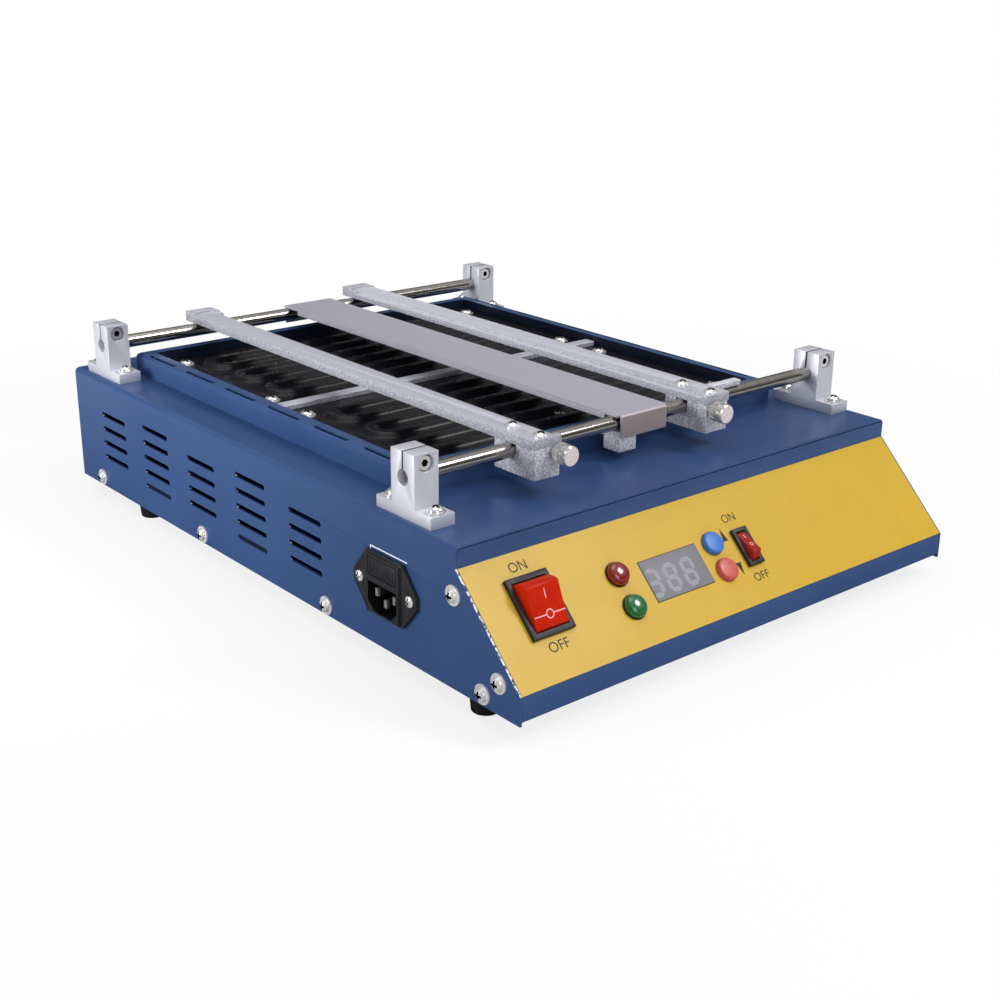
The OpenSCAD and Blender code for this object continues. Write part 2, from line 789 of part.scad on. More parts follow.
module rim_slots() {
  room_x = 2 * well_x + rim_slot_pitch - rim_slot_len;
  room_y = 2 * well_half_y + rim_slot_pitch - rim_slot_len;
  count_x = floor(room_x / rim_slot_pitch);
  count_y = floor(room_y / rim_slot_pitch);
  for (side = [-1, 1]) {
    for (i = [0 : count_x - 1])
      translate([(i - (count_x - 1) / 2) * rim_slot_pitch, side * (rim_y - rim_slot_in)])
        slot(rim_slot_len, rim_slot_w);
    for (i = [0 : count_y - 1])
      translate([side * (rim_x - rim_slot_in), (i - (count_y - 1) / 2) * rim_slot_pitch])
        rotate(90) slot(rim_slot_len, rim_slot_w);
  }
}

module well_rim() {
  skirt_z = top_z - skirt_drop;
  color(blue) difference() {
    union() {
      difference() {
        rim_dome(0, top_z, rim_z, rim_r);
        rim_dome(sheet_t, top_z - through, rim_z - sheet_t, rim_r - sheet_t);
      }
      translate([0, well_y, skirt_z])
        block(2 * (well_x + sheet_t), 2 * (well_half_y + sheet_t), rim_z - skirt_z - sheet_t / 2);
    }
    translate([0, well_y, skirt_z - through])
      block(2 * well_x, 2 * well_half_y, rim_z - skirt_z + 2 * through);
    translate([0, well_y, rim_z - sheet_t - rim_r]) linear_extrude(sheet_t + rim_r + through) rim_slots();
  }
}

module heater_tray() {
  color("#8f9296") difference() {
    union() {
      translate([0, well_y, tray_floor_z]) block(2 * (tray_x + sheet_t), 2 * (tray_y + sheet_t), tray_h);
      translate([0, well_y, cover_z - sheet_t])
        block(2 * (tray_x + tray_flange), 2 * (tray_y + tray_flange), sheet_t);
    }
    translate([0, well_y, tray_floor_z + sheet_t]) block(2 * tray_x, 2 * tray_y, tray_h);
  }
}

module insulation_blanket() {
  color("#e8e4da") difference() {
    translate([0, well_y, tray_floor_z + sheet_t])
      block(2 * (tray_x - blanket_gap), 2 * (tray_y - blanket_gap), blanket_t);
    at_plate_screws() translate([0, 0, tray_floor_z])
      cylinder(d = standoff_d + 2 * standoff_gap, h = blanket_t + 2 * sheet_t);
  }
}

module serpentine() {
  first = -(tube_runs - 1) / 2;
  for (run = [0 : tube_runs - 1])
    translate([-run_x, (first + run) * run_pitch, 0]) rotate([0, 90, 0]) cylinder(d = tube_d, h = 2 * run_x);
  for (turn = [0 : tube_runs - 2]) {
    end = turn % 2 == 0 ? -1 : 1;
    translate([end * run_x, (first + turn + 0.5) * run_pitch, 0]) rotate(end < 0 ? 90 : -90)
      rotate_extrude(angle = 180) translate([run_pitch / 2, 0]) circle(d = tube_d);
  }
}

module heater(side) {
  middle_y = well_y + side * plate_y;
  color(black) difference() {
    union() {
      translate([0, middle_y, plate_z]) block(plate_w, plate_d, plate_t);
      translate([0, middle_y, plate_z + plate_t / 2]) serpentine();
    }
    at_plate_screws() translate([0, 0, plate_z - through])
      cylinder(d = plate_screw_d + 2 * screw_play, h = plate_t + 2 * through);
    translate([0, sensor_y, plate_z - through])
      cylinder(d = sensor_screw_d + 2 * screw_play, h = plate_t + 2 * through);
  }
}

module rear_heater() {
  heater(1);
}

module front_heater() {
  heater(-1);
}

module heater_divider() {
  color(alloy) translate([0, well_y, plate_top]) block(plate_w, divider_w, divider_t);
}

module heater_screws() {
  nut_z = plate_z - probe_eye_t - sensor_nut_h;
  color(steel) {
    at_plate_screws() translate([0, 0, plate_top])
      pan_screw(plate_screw_d, plate_screw_len, plate_head_d, plate_head_h, plate_washer_d, washer_t);
    translate([0, sensor_y, plate_top])
      pan_screw(sensor_screw_d, plate_top - nut_z, sensor_eye_d, plate_head_h);
    translate([0, sensor_y, nut_z]) cylinder(d = sensor_eye_d, h = sensor_nut_h, $fn = 6);
  }
}

module heater_standoffs() {
  low = tray_floor_z + sheet_t;
  hole = plate_screw_grip + through;
  color(steel) at_plate_screws() difference() {
    translate([0, 0, low]) cylinder(d = standoff_d, h = plate_z - low);
    translate([0, 0, plate_z - hole]) cylinder(d = plate_screw_d + 2 * screw_play, h = hole + through);
  }
}

// Ring under the plate, held by the sensor screw, with the probe beside it
module thermocouple_probe() {
  color(steel) translate([0, sensor_y, plate_z]) difference() {
    union() {
      translate([0, 0, -probe_eye_t]) cylinder(d = sensor_eye_d, h = probe_eye_t);
      translate([sensor_eye_d / 2 - probe_eye_t, 0, -probe_d / 2])
        rotate([0, 90, 0]) cylinder(d = probe_d, h = probe_len);
    }
    translate([0, 0, -probe_d]) cylinder(d = sensor_eye_d + 2 * panel_gap, h = probe_d - probe_eye_t);
    translate([0, 0, -probe_d]) cylinder(d = sensor_screw_d + 2 * screw_play, h = 2 * probe_d);
  }
}

// Rods and supports

module shaft_support() {
  head_hole_d = 2.15 * clamp_screw_d;
  color(alloy) difference() {
    union() {
      block(support_l, support_base_w, support_base_t);
      block(support_l, support_post_w, support_h);
    }
    translate([-support_l, 0, rod_h]) rotate([0, 90, 0])
      cylinder(d = rod_d + 2 * rod_play, h = 2 * support_l);
    translate([0, 0, rod_h]) block(2 * support_l, slit_w, support_h);
    translate([0, support_post_w, clamp_h]) rotate([90, 0, 0])
      cylinder(d = clamp_screw_d + 2 * screw_play, h = 2 * support_post_w);
    translate([0, -support_post_w / 2 + clamp_seat, clamp_h]) rotate([90, 0, 0])
      cylinder(d = head_hole_d, h = support_post_w);
    for (side = [-1, 1]) translate([0, side * support_bolt_pitch / 2, -through])
      cylinder(d = support_bolt_d + 2 * support_bolt_play, h = support_base_t + 2 * through);
  }
}

module front_left_support() {
  translate([-support_x, front_rod_y, top_z]) shaft_support();
}

module front_right_support() {
  translate([support_x, front_rod_y, top_z]) shaft_support();
}

module rear_left_support() {
  translate([-support_x, rear_rod_y, top_z]) shaft_support();
}

module rear_right_support() {
  translate([support_x, rear_rod_y, top_z]) shaft_support();
}

module support_screws() {
  color(steel) at_support_bolts() translate([0, 0, support_base_t])
    pan_screw(support_bolt_d, support_bolt_len, support_head_d, support_head_h, support_washer_d, washer_t);
}

module support_nuts() {
  color(steel) at_support_bolts() translate([0, 0, -sheet_t - support_nut_h]) difference() {
    cylinder(d = support_nut_d, h = support_nut_h, $fn = 6);
    translate([0, 0, -through]) cylinder(d = support_bolt_d + 2 * nut_play, h = support_nut_h + 2 * through);
  }
}

module support_clamp_screws() {
  head_d = 1.75 * clamp_screw_d;
  head_l = 0.2 * support_post_w;
  len = support_post_w - clamp_seat;
  seat_y = -support_post_w / 2 + clamp_seat;
  color(steel) at_supports() translate([0, seat_y, clamp_h]) rotate([90, 0, 0]) difference() {
    union() {
      cylinder(d = head_d, h = head_l);
      translate([0, 0, thread_end - len]) cylinder(d = clamp_screw_d, h = len);
    }
    translate([0, 0, head_l / 2]) cylinder(d = 0.55 * head_d, h = head_l, $fn = 6);
  }
}

module rod(y) {
  color("#d4d4d2") translate([-rod_len / 2, y, rod_z]) rotate([0, 90, 0]) cylinder(d = rod_d, h = rod_len);
}

module front_rod() {
  rod(front_rod_y);
}

module rear_rod() {
  rod(rear_rod_y);
}

// Clamp bars: inner is 1 where the board side faces +X, and -1 where it faces -X

module at_bar_screws(x) {
  for (side = [-1, 1]) translate([x, bar_y0 + block_d / 2 + side * bar_screw_pitch / 2, 0]) children();
}

module clamp_bar(x, inner) {
  len = bar_y1 - bar_y0;
  pad_r = bar_w * 0.62;
  color(alloy) difference() {
    union() {
      translate([x - bar_w / 2, bar_y0, bar_z]) cube([bar_w, len, bar_t]);
      difference() {
        translate([x - bar_w / 2, bar_y1 - pad_len, bar_top - eps]) cube([bar_w, pad_len, pad_h + eps]);
        translate([x, bar_y1 - pad_len - pad_r / 2, bar_z]) cylinder(r = pad_r, h = 2 * bar_t);
      }
    }
    translate([x + inner * (bar_w / 2 - ledge_w / 2), (rabbet_y0 + rabbet_y1) / 2, bar_top - ledge_drop])
      block(ledge_w + 2 * eps, rabbet_y1 - rabbet_y0, 2 * ledge_drop);
    translate([x + inner * bar_w / 2, rabbet_y1, bar_top - ledge_drop])
      cylinder(r = ledge_w, h = 2 * ledge_drop);
    at_bar_screws(x) translate([0, 0, bar_z - through])
      cylinder(d = bar_screw_d + 2 * screw_play, h = bar_t + 2 * through);
  }
}

module guide_block(x, inner) {
  groove_d = rod_d + 2 * slide_play;
  color("#b7b9be") difference() {
    translate([x - block_w / 2, bar_y0, bar_z - block_h]) cube([block_w, block_d, block_h]);
    translate([x - block_w, front_rod_y, rod_z]) rotate([0, 90, 0]) cylinder(d = groove_d, h = 2 * block_w);
    translate([x, front_rod_y, rod_z]) block(2 * block_w, groove_d, block_h);
    at_bar_screws(x) translate([0, 0, bar_z - bar_screw_grip - through])
      cylinder(d = bar_screw_d + 2 * screw_play, h = block_h);
    translate([x + inner * thumb_offset, front_rod_y, rod_z + thumb_rise]) rotate([90, 0, 0])
      cylinder(d = thumb_screw_d + 2 * slide_play, h = block_d);
  }
}

module bar_screws(x) {
  color(steel) at_bar_screws(x) translate([0, 0, bar_top])
    pan_screw(bar_screw_d, bar_screw_len, bar_head_d, bar_head_h);
}

module thumb_screw(x, inner) {
  tip_y = front_rod_y - rod_r - thumb_tip_gap;
  neck_y = bar_y0 - thumb_gap;
  chamfer = 0.6;
  color("#cfcac2") translate([x + inner * thumb_offset, tip_y, rod_z + thumb_rise])
    rotate([90, 0, 0]) {
    cylinder(d = thumb_screw_d, h = tip_y - neck_y + thumb_neck_l);
    translate([0, 0, tip_y - neck_y]) cylinder(d = thumb_head_d * 0.62, h = thumb_neck_l);
    translate([0, 0, tip_y - neck_y + thumb_neck_l]) {
      cylinder(d1 = thumb_head_d - 2 * chamfer, d2 = thumb_head_d, h = chamfer);
      translate([0, 0, chamfer]) cylinder(d = thumb_head_d, h = thumb_head_l - 2 * chamfer);
      translate([0, 0, thumb_head_l - chamfer])
        cylinder(d1 = thumb_head_d, d2 = thumb_head_d - 2 * chamfer, h = chamfer);
    }
  }
}

module left_clamp_bar() {
  clamp_bar(left_bar_x, 1);
}

module left_guide_block() {
  guide_block(left_bar_x, 1);
}

module left_bar_screws() {
  bar_screws(left_bar_x);
}

module left_thumb_screw() {
  thumb_screw(left_bar_x, 1);
}

module right_clamp_bar() {
  clamp_bar(right_bar_x, -1);
}

module right_guide_block() {
  guide_block(right_bar_x, -1);
}

module right_bar_screws() {
  bar_screws(right_bar_x);
}

module right_thumb_screw() {
  thumb_screw(right_bar_x, -1);
}

module right_steady_arm() {
  color("#b7b9be") translate([right_bar_x + bar_w / 2, front_rod_y - arm_w / 2, bar_z + arm_lift])
    cube([arm_l, arm_w, arm_t]);
}

// Centre channel

// Flat strip of sheet with both ends bent down, of outer length from a0 to a1
module bent_strip(a0, a1, z1, t, r, drop) {
  difference() {
    translate([(a0 + a1) / 2, 0]) arch(a1 - a0, z1 - drop, z1, r);
    translate([(a0 + a1) / 2, 0]) arch(a1 - a0 - 2 * t, z1 - drop - through, z1 - t, r - t);
  }
}

module centre_channel() {
  color("#a5a5a6") {
    along_x(channel_w - 2 * channel_r)
      bent_strip(channel_y0, channel_y1, channel_top, channel_t, channel_r, channel_flange);
    along_y(channel_fold_y0, channel_fold_y1)
      bent_strip(-channel_w / 2, channel_w / 2, channel_top, channel_t, channel_r, channel_fold);
    translate([-channel_w / 2, channel_y0 + channel_r, bar_z])
      cube([channel_w, channel_y1 - channel_y0 - 2 * channel_r, channel_t]);
  }
}

module centre_hook_block() {
  color("#b7b9be") translate([hook_x - hook_w / 2 + channel_r, channel_y0 + channel_t, hook_top - hook_h])
    cube([hook_w, hook_w, hook_h]);
}

// Front controls

// Switch housing with a bezel, a pocket for the rocker and two bearing holes
module switch_body(bezel_w, bezel_l, body_w, body_l, body_h, rocker_w, rocker_r) {
  color(black) difference() {
    union() {
      translate([0, 0, fascia_t]) block(bezel_w, bezel_l, bezel_h);
      translate([0, 0, -body_h]) block(body_w, body_l, body_h + fascia_t + eps);
    }
    translate([0, 0, -rocker_r - panel_gap])
      block(rocker_w + 2 * panel_gap, 2 * (rocker_r + panel_gap), rocker_r + fascia_t + bezel_h + through);
    translate([-rocker_w / 2 - panel_gap - rocker_pin_l, 0, 0]) rotate([0, 90, 0])
      cylinder(d = rocker_pin_d + 2 * rocker_pin_play, h = rocker_w + 2 * panel_gap + 2 * rocker_pin_l);
  }
}

// Rocker that turns about the X axis of its frame, with ends rounded about that axis
module switch_rocker(w, r, h, tilt) {
  rise = r * tan(rocker_dish);
  rotate([tilt, 0, 0]) {
    along_x(w) intersection() {
      circle(r, $fn = 96);
      polygon([[-r, h + rise], [0, h], [r, h + rise], [r, -rocker_depth], [-r, -rocker_depth]]);
    }
    translate([-w / 2 - panel_gap - rocker_pin_l + rocker_pin_play, 0, 0]) rotate([0, 90, 0])
      cylinder(d = rocker_pin_d, h = w + 2 * (panel_gap + rocker_pin_l - rocker_pin_play));
  }
}

module power_switch_body() {
  on_slope(power_x, power_s)
    switch_body(
      power_bezel_w, power_bezel_l, power_body_w, power_body_l, power_body_h,
      power_rocker_w, power_rocker_r
    );
}

module power_rocker() {
  color(red) on_slope(power_x, power_s)
    switch_rocker(power_rocker_w, power_rocker_r, power_rocker_h, rocker_tilt);
}

module heat_switch_body() {
  on_slope(heat_x, heat_s)
    switch_body(
      heat_bezel_w, heat_bezel_l, heat_body_w, heat_body_l, heat_body_h,
      heat_rocker_w, heat_rocker_r
    );
}

module heat_rocker() {
  color(red) on_slope(heat_x, heat_s)
    switch_rocker(heat_rocker_w, heat_rocker_r, heat_rocker_h, -rocker_tilt);
}

module switch_terminals() {
  blade = [4.8, 0.8, 7];
  color("#c9a96a") {
    for (x = [-1, 1], y = [-1, 1]) on_slope(power_x, power_s)
      translate([x * power_body_w / 4, y * power_body_l / 4, -power_body_h - blade[2]])
        block(blade[0], blade[1], blade[2]);
    for (y = [-1, 1]) on_slope(heat_x, heat_s)
      translate([0, y * heat_body_l / 4, -heat_body_h - blade[2]]) block(blade[0], blade[1], blade[2]);
  }
}

module lamp(s) {
  dome_h = lamp_d * 0.36;
  dome_r = (pow(lamp_d / 2, 2) + pow(dome_h, 2)) / (2 * dome_h);
  on_slope(lamp_x, s) {
    translate([0, 0, board_z]) cylinder(d = lamp_barrel_d, h = board_depth + fascia_t + eps);
    translate([0, 0, fascia_t]) cylinder(d = lamp_d, h = lamp_ring_h);
    translate([0, 0, fascia_t + lamp_ring_h]) intersection() {
      cylinder(d = lamp_d, h = dome_h);
      translate([0, 0, dome_h - dome_r]) sphere(dome_r);
    }
  }
}

module red_lamp() {
  color("#a01818") lamp(red_lamp_s);
}

module green_lamp() {
  color("#0f7d3a") lamp(green_lamp_s);
}

module lamp_rings() {
  inner_d = lamp_d + 2 * sheet_gap;
  color(black) for (s = [red_lamp_s, green_lamp_s]) on_slope(lamp_x, s) translate([0, 0, fascia_t])
    difference() {
      cylinder(d = inner_d + 2 * lamp_ring_t, h = lamp_ring_h);
      translate([0, 0, -through]) cylinder(d = inner_d, h = lamp_ring_h + 2 * through);
    }
}

module display_module() {
  color("#8a8d90") on_slope(display_x, display_s) translate([0, 0, board_z])
    block(display_w, display_l, board_depth + fascia_t + display_rise);
}

// Round cap with a flange behind the panel and a stem that enters its push switch
module button(s) {
  flange_z = -sheet_t - panel_gap - button_flange_t;
  tip_z = board_z + push_switch_h - push_depth;
  on_slope(button_x, s) {
    translate([0, 0, flange_z])
      cylinder(d = button_d, h = fascia_t + button_rise - button_chamfer - flange_z);
    translate([0, 0, fascia_t + button_rise - button_chamfer])
      cylinder(d1 = button_d, d2 = button_d - 2 * button_chamfer, h = button_chamfer);
    translate([0, 0, flange_z]) cylinder(d = button_d + 2 * button_flange_over, h = button_flange_t);
    translate([0, 0, tip_z]) cylinder(d = button_stem_d, h = flange_z - tip_z + eps);
  }
}

module up_button() {
  color("#3f7fc8") button(up_button_s);
}

module down_button() {
  color("#e2685c") button(down_button_s);
}

module push_switches() {
  hole_z = push_switch_h - push_depth - button_travel - panel_gap;
  color(black) for (s = [up_button_s, down_button_s]) on_slope(button_x, s) translate([0, 0, board_z])
    difference() {
      block(push_switch_w, push_switch_w, push_switch_h);
      translate([0, 0, hole_z]) cylinder(d = button_stem_d + 2 * button_stem_play, h = push_switch_h);
    }
}

module control_board() {
  color("#1f6b3a") on_slope((board_x0 + board_x1) / 2, (board_s0 + board_s1) / 2)
    translate([0, 0, board_z - board_t])
    block(board_x1 - board_x0, board_s1 - board_s0, board_t);
}

module board_pillars() {
  columns = [board_x0 + pillar_inset, board_x1 - pillar_inset];
  rows = [board_s0 + pillar_inset, board_s1 - pillar_inset];
  color("#d9c27a") for (x = columns, s = rows)
    on_slope(x, s) translate([0, 0, board_z]) cylinder(d = pillar_d, h = board_depth - sheet_t);
}

// Mains inlet

module inlet_flange_outline() {
  tip = inlet_tip_h / 2;
  square([inlet_body_w + 2 * inlet_shoulder, inlet_flange_h], center = true);
  polygon([
    [-inlet_flange_w / 2, -tip], [-inlet_flange_w / 2, tip], [-inlet_body_w / 2, inlet_flange_h / 2],
    [inlet_body_w / 2, inlet_flange_h / 2], [inlet_flange_w / 2, tip], [inlet_flange_w / 2, -tip],
    [inlet_body_w / 2, -inlet_flange_h / 2], [-inlet_body_w / 2, -inlet_flange_h / 2]
  ]);
}

// Socket outline with two cut corners at the bottom
module socket_outline(w, h, corner) {
  polygon([
    [-w / 2, h / 2], [w / 2, h / 2], [w / 2, -h / 2 + corner],
    [w / 2 - corner, -h / 2], [-w / 2 + corner, -h / 2], [-w / 2, -h / 2 + corner]
  ]);
}

module inlet_body() {
  color(black) on_inlet() difference() {
    union() {
      linear_extrude(inlet_flange_t) inlet_flange_outline();
      block(inlet_collar_w, inlet_collar_h, inlet_out);
      translate([0, 0, -sheet_t - inlet_depth])
        block(inlet_body_w, inlet_collar_h, inlet_depth + sheet_t + eps);
    }
    translate([0, socket_z, inlet_out - socket_depth]) linear_extrude(socket_depth + through)
      socket_outline(socket_w, socket_h, socket_corner);
    translate([0, drawer_z, inlet_out - drawer_depth - drawer_gap])
      block(drawer_w + 2 * drawer_gap, drawer_h + 2 * drawer_gap, drawer_depth + drawer_gap + through);
    for (side = [-1, 1]) translate([side * inlet_screw_pitch / 2, 0, -through])
      cylinder(d = inlet_screw_d + 2 * screw_play, h = inlet_out + 2 * through);
  }
}

module inlet_pins() {
  root = inlet_out - socket_depth;
  color(steel) on_inlet() {
    for (side = [-1, 1]) translate([side * pin_pitch, socket_z + pin_w / 2, root]) block(pin_t, pin_w, pin_l);
    translate([0, socket_z - pin_w / 2, root]) block(pin_t, pin_w, pin_l);
  }
}

module inlet_screws() {
  color(steel) on_inlet() for (side = [-1, 1]) translate([side * inlet_screw_pitch / 2, 0, inlet_flange_t])
    pan_screw(inlet_screw_d, inlet_flange_t + sheet_t + inlet_screw_grip, inlet_head_d, inlet_collar_t);
}

// Drawer with a cross pocket for the fuse, open at the top
module fuse_drawer() {
  color(black) on_inlet() translate([0, drawer_z, inlet_out - drawer_depth]) difference() {
    block(drawer_w, drawer_h, drawer_depth);
    translate([0, drawer_wall, drawer_pocket_z]) block(drawer_w - 2 * drawer_wall, drawer_h, drawer_pocket);
  }
}

module fuse() {
  low_y = drawer_z - drawer_h / 2 + drawer_wall + fuse_d / 2;
  low_z = inlet_out - drawer_depth + drawer_pocket_z + fuse_d / 2;
  color("#dfe6e8") on_inlet() translate([-fuse_l / 2, low_y, low_z])
    rotate([0, 90, 0]) cylinder(d = fuse_d, h = fuse_l);
}

// Inside

module relay() {
  color(black) translate([relay_x, bay_y, floor_top]) difference() {
    block(relay_w, relay_d, relay_h);
    for (side = [-1, 1]) translate([0, side * (relay_d - relay_notch) / 2, relay_h - relay_notch])
      block(relay_w - relay_notch, relay_notch + 2 * eps, relay_h);
  }
}

module transformer_core() {
  leg = core_w / 6;
  color("#5c5f63") translate([transformer_x, bay_y, floor_top]) difference() {
    block(core_w, core_d, core_h);
    for (side = [-1, 1]) translate([side * leg * 1.5, 0, leg]) block(leg, 2 * core_d, core_h - 2 * leg);
  }
}

module transformer_bobbin() {
  leg = core_w / 6;
  play = 0.2;
  color("#c9b06a") translate([transformer_x, bay_y, floor_top + leg]) difference() {
    block(core_w - 2 * leg - 2 * play, core_d + 2 * leg, core_h - 2 * leg - play);
    translate([0, 0, -through]) block(2 * leg + 2 * play, core_d + 2 * play, core_h);
  }
}

module terminal_strip() {
  pitch = terminal_l / terminal_ways;
  hole_d = 4.6;
  color("#e8e2d2") translate([terminal_x, bay_y, floor_top]) difference() {
    block(terminal_l, terminal_w, terminal_h);
    for (way = [0 : terminal_ways - 1], side = [-1, 1])
      translate([(way - (terminal_ways - 1) / 2) * pitch, side * terminal_w / 4, terminal_h / 2])
        cylinder(d = hole_d, h = terminal_h);
  }
}

module earth_stud() {
  len = 14;
  nut_h = 3.2;
  nut_d = 8;
  head_h = 0.6;
  color("#c9a24a") translate([earth_x, bay_y, floor_z]) {
    translate([0, 0, -head_h]) cylinder(d = nut_d, h = head_h);
    cylinder(d = earth_d, h = len);
    translate([0, 0, sheet_t]) cylinder(d = washer_d, h = washer_t);
    translate([0, 0, sheet_t + washer_t]) cylinder(d = nut_d, h = nut_h, $fn = 6);
  }
}

// Tapered foot with a recess for the head of its screw
module rubber_feet() {
  taper = 2;
  color(black) at_feet() difference() {
    cylinder(d1 = foot_d, d2 = foot_d + taper, h = floor_z);
    translate([0, 0, -through]) cylinder(d = foot_head_d + 1, h = foot_head_room + through);
    cylinder(d = foot_screw_d + 2 * screw_play, h = floor_z + through);
  }
}

module foot_screws() {
  len = floor_top - foot_head_room + foot_nut_h + thread_end;
  color(steel) at_feet() {
    translate([0, 0, foot_head_room]) mirror([0, 0, 1])
      pan_screw(foot_screw_d, len, foot_head_d, foot_head_h);
    translate([0, 0, floor_top]) cylinder(d = foot_head_d, h = foot_nut_h, $fn = 6);
  }
}

module case_screws() {
  color(steel) at_case_screws()
    pan_screw(case_screw_d, case_screw_len, case_head_d, case_head_h, washer_d, washer_t);
}

top_cover();
base_pan();
front_panel();
gold_fascia();
well_rim();
heater_tray();
insulation_blanket();
rear_heater();
front_heater();
heater_divider();
heater_screws();
heater_standoffs();
thermocouple_probe();
front_left_support();
front_right_support();
rear_left_support();
rear_right_support();
support_screws();
support_nuts();
support_clamp_screws();
front_rod();
rear_rod();
left_clamp_bar();
left_guide_block();
left_bar_screws();
left_thumb_screw();
right_clamp_bar();
right_guide_block();
right_bar_screws();
right_thumb_screw();
right_steady_arm();
centre_channel();
centre_hook_block();
power_switch_body();
power_rocker();
heat_switch_body();
heat_rocker();
switch_terminals();
red_lamp();
green_lamp();
lamp_rings();
display_module();
up_button();
down_button();
push_switches();
control_board();
board_pillars();
inlet_body();
inlet_pins();
inlet_screws();
fuse_drawer();
fuse();
relay();
transformer_core();
transformer_bobbin();
terminal_strip();
earth_stud();
rubber_feet();
foot_screws();
case_screws();
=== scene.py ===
import json
import math

import bmesh
import bpy
from mathutils import Matrix, Vector


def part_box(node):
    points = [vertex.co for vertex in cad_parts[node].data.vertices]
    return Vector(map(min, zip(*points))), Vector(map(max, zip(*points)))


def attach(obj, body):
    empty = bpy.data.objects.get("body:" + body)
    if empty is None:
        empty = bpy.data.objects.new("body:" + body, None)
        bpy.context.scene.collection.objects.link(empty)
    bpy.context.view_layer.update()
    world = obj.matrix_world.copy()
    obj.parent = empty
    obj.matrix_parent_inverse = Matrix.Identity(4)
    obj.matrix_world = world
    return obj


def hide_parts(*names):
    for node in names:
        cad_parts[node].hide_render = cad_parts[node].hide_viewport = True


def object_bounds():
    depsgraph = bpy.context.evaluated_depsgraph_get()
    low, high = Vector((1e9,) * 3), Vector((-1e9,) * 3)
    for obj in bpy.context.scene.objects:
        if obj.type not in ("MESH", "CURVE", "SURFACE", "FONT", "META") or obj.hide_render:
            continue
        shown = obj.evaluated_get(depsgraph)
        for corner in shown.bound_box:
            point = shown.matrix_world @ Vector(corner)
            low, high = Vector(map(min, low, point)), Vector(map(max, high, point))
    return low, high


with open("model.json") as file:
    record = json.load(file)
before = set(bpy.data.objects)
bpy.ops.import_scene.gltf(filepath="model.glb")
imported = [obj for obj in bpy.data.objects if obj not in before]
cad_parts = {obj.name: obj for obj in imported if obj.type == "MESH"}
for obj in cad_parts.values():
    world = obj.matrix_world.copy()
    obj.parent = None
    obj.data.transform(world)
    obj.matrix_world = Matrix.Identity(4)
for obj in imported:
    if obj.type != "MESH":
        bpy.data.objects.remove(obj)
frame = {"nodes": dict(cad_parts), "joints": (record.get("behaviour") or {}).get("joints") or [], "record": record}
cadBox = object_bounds()
scene = bpy.context.scene
nodes = frame["nodes"]
joints = {joint["name"]: joint for joint in frame["joints"]}
mm = 0.001
print("frame loaded:", len(nodes), "nodes")


# colours and nodes

def linear(hexText):  # sRGB hex to a linear colour
    channels = [int(hexText[i:i + 2], 16) / 255 for i in (1, 3, 5)]
    return [c / 12.92 if c <= 0.04045 else ((c + 0.055) / 1.055) ** 2.4 for c in channels] + [1]


# a Mix node's sockets go by index: 0 its share, 2 and 3 two values, 6 and 7 two colours
def addNode(tree, kind, settings=None, links=None):
    node = tree.nodes.new("ShaderNode" + kind)
    for key, value in (settings or {}).items():
        if isinstance(key, int) or key in node.inputs:
            node.inputs[key].default_value = value
        else:
            setattr(node, key, value)
    for key, source in (links or {}).items():
        tree.links.new(source, node.inputs[key])
    return node


def newMaterial(name, settings):
    material = bpy.data.materials.new(name)
    material.use_nodes = True
    tree = material.node_tree
    tree.nodes.clear()
    shader = addNode(tree, "BsdfPrincipled", settings)
    addNode(tree, "OutputMaterial", None, {"Surface": shader.outputs[0]})
    place = addNode(tree, "TexCoord").outputs["Object"]
    return material, tree, shader, place


def perMetre(size):  # texture scale for a pattern of that size in millimetres
    return 1 / (size * mm)


# materials

def powderCoat(name, look):
    # polyester powder baked on sheet steel: satin, with a fine orange peel
    finish = {"Roughness": look["rough"], "Specular IOR Level": 0.22}
    material, tree, shader, place = newMaterial(name, finish)
    cloud = addNode(tree, "TexNoise", {"Scale": perMetre(look["cloud"]), "Detail": 2}, {"Vector": place})
    tint = addNode(tree, "Mix", {"data_type": "RGBA", 6: linear(look["dark"]), 7: linear(look["light"])},
                   {0: cloud.outputs[0]})
    tree.links.new(tint.outputs[2], shader.inputs["Base Color"])
    peel = addNode(tree, "TexNoise", {"Scale": perMetre(look["peel"]), "Detail": 3}, {"Vector": place})
    bump = addNode(tree, "Bump", {"Strength": 0.12, "Distance": 0.05 * mm}, {"Height": peel.outputs[0]})
    tree.links.new(bump.outputs[0], shader.inputs["Normal"])
    return material


def chippedEdge(name, look):
    # cut edge of the sheet, where the coat has broken away from the bright steel
    material, tree, shader, place = newMaterial(name, {"Roughness": 0.5})
    chips = addNode(tree, "TexNoise", {"Scale": perMetre(look["chip"]), "Detail": 3}, {"Vector": place})
    edge = addNode(tree, "MapRange", {"From Min": 0.45, "From Max": 0.52}, {"Value": chips.outputs[0]})
    tint = addNode(tree, "Mix", {"data_type": "RGBA", 6: linear(look["coat"]), 7: linear(look["steel"])},
                   {0: edge.outputs[0]})
    tree.links.new(tint.outputs[2], shader.inputs["Base Color"])
    return material


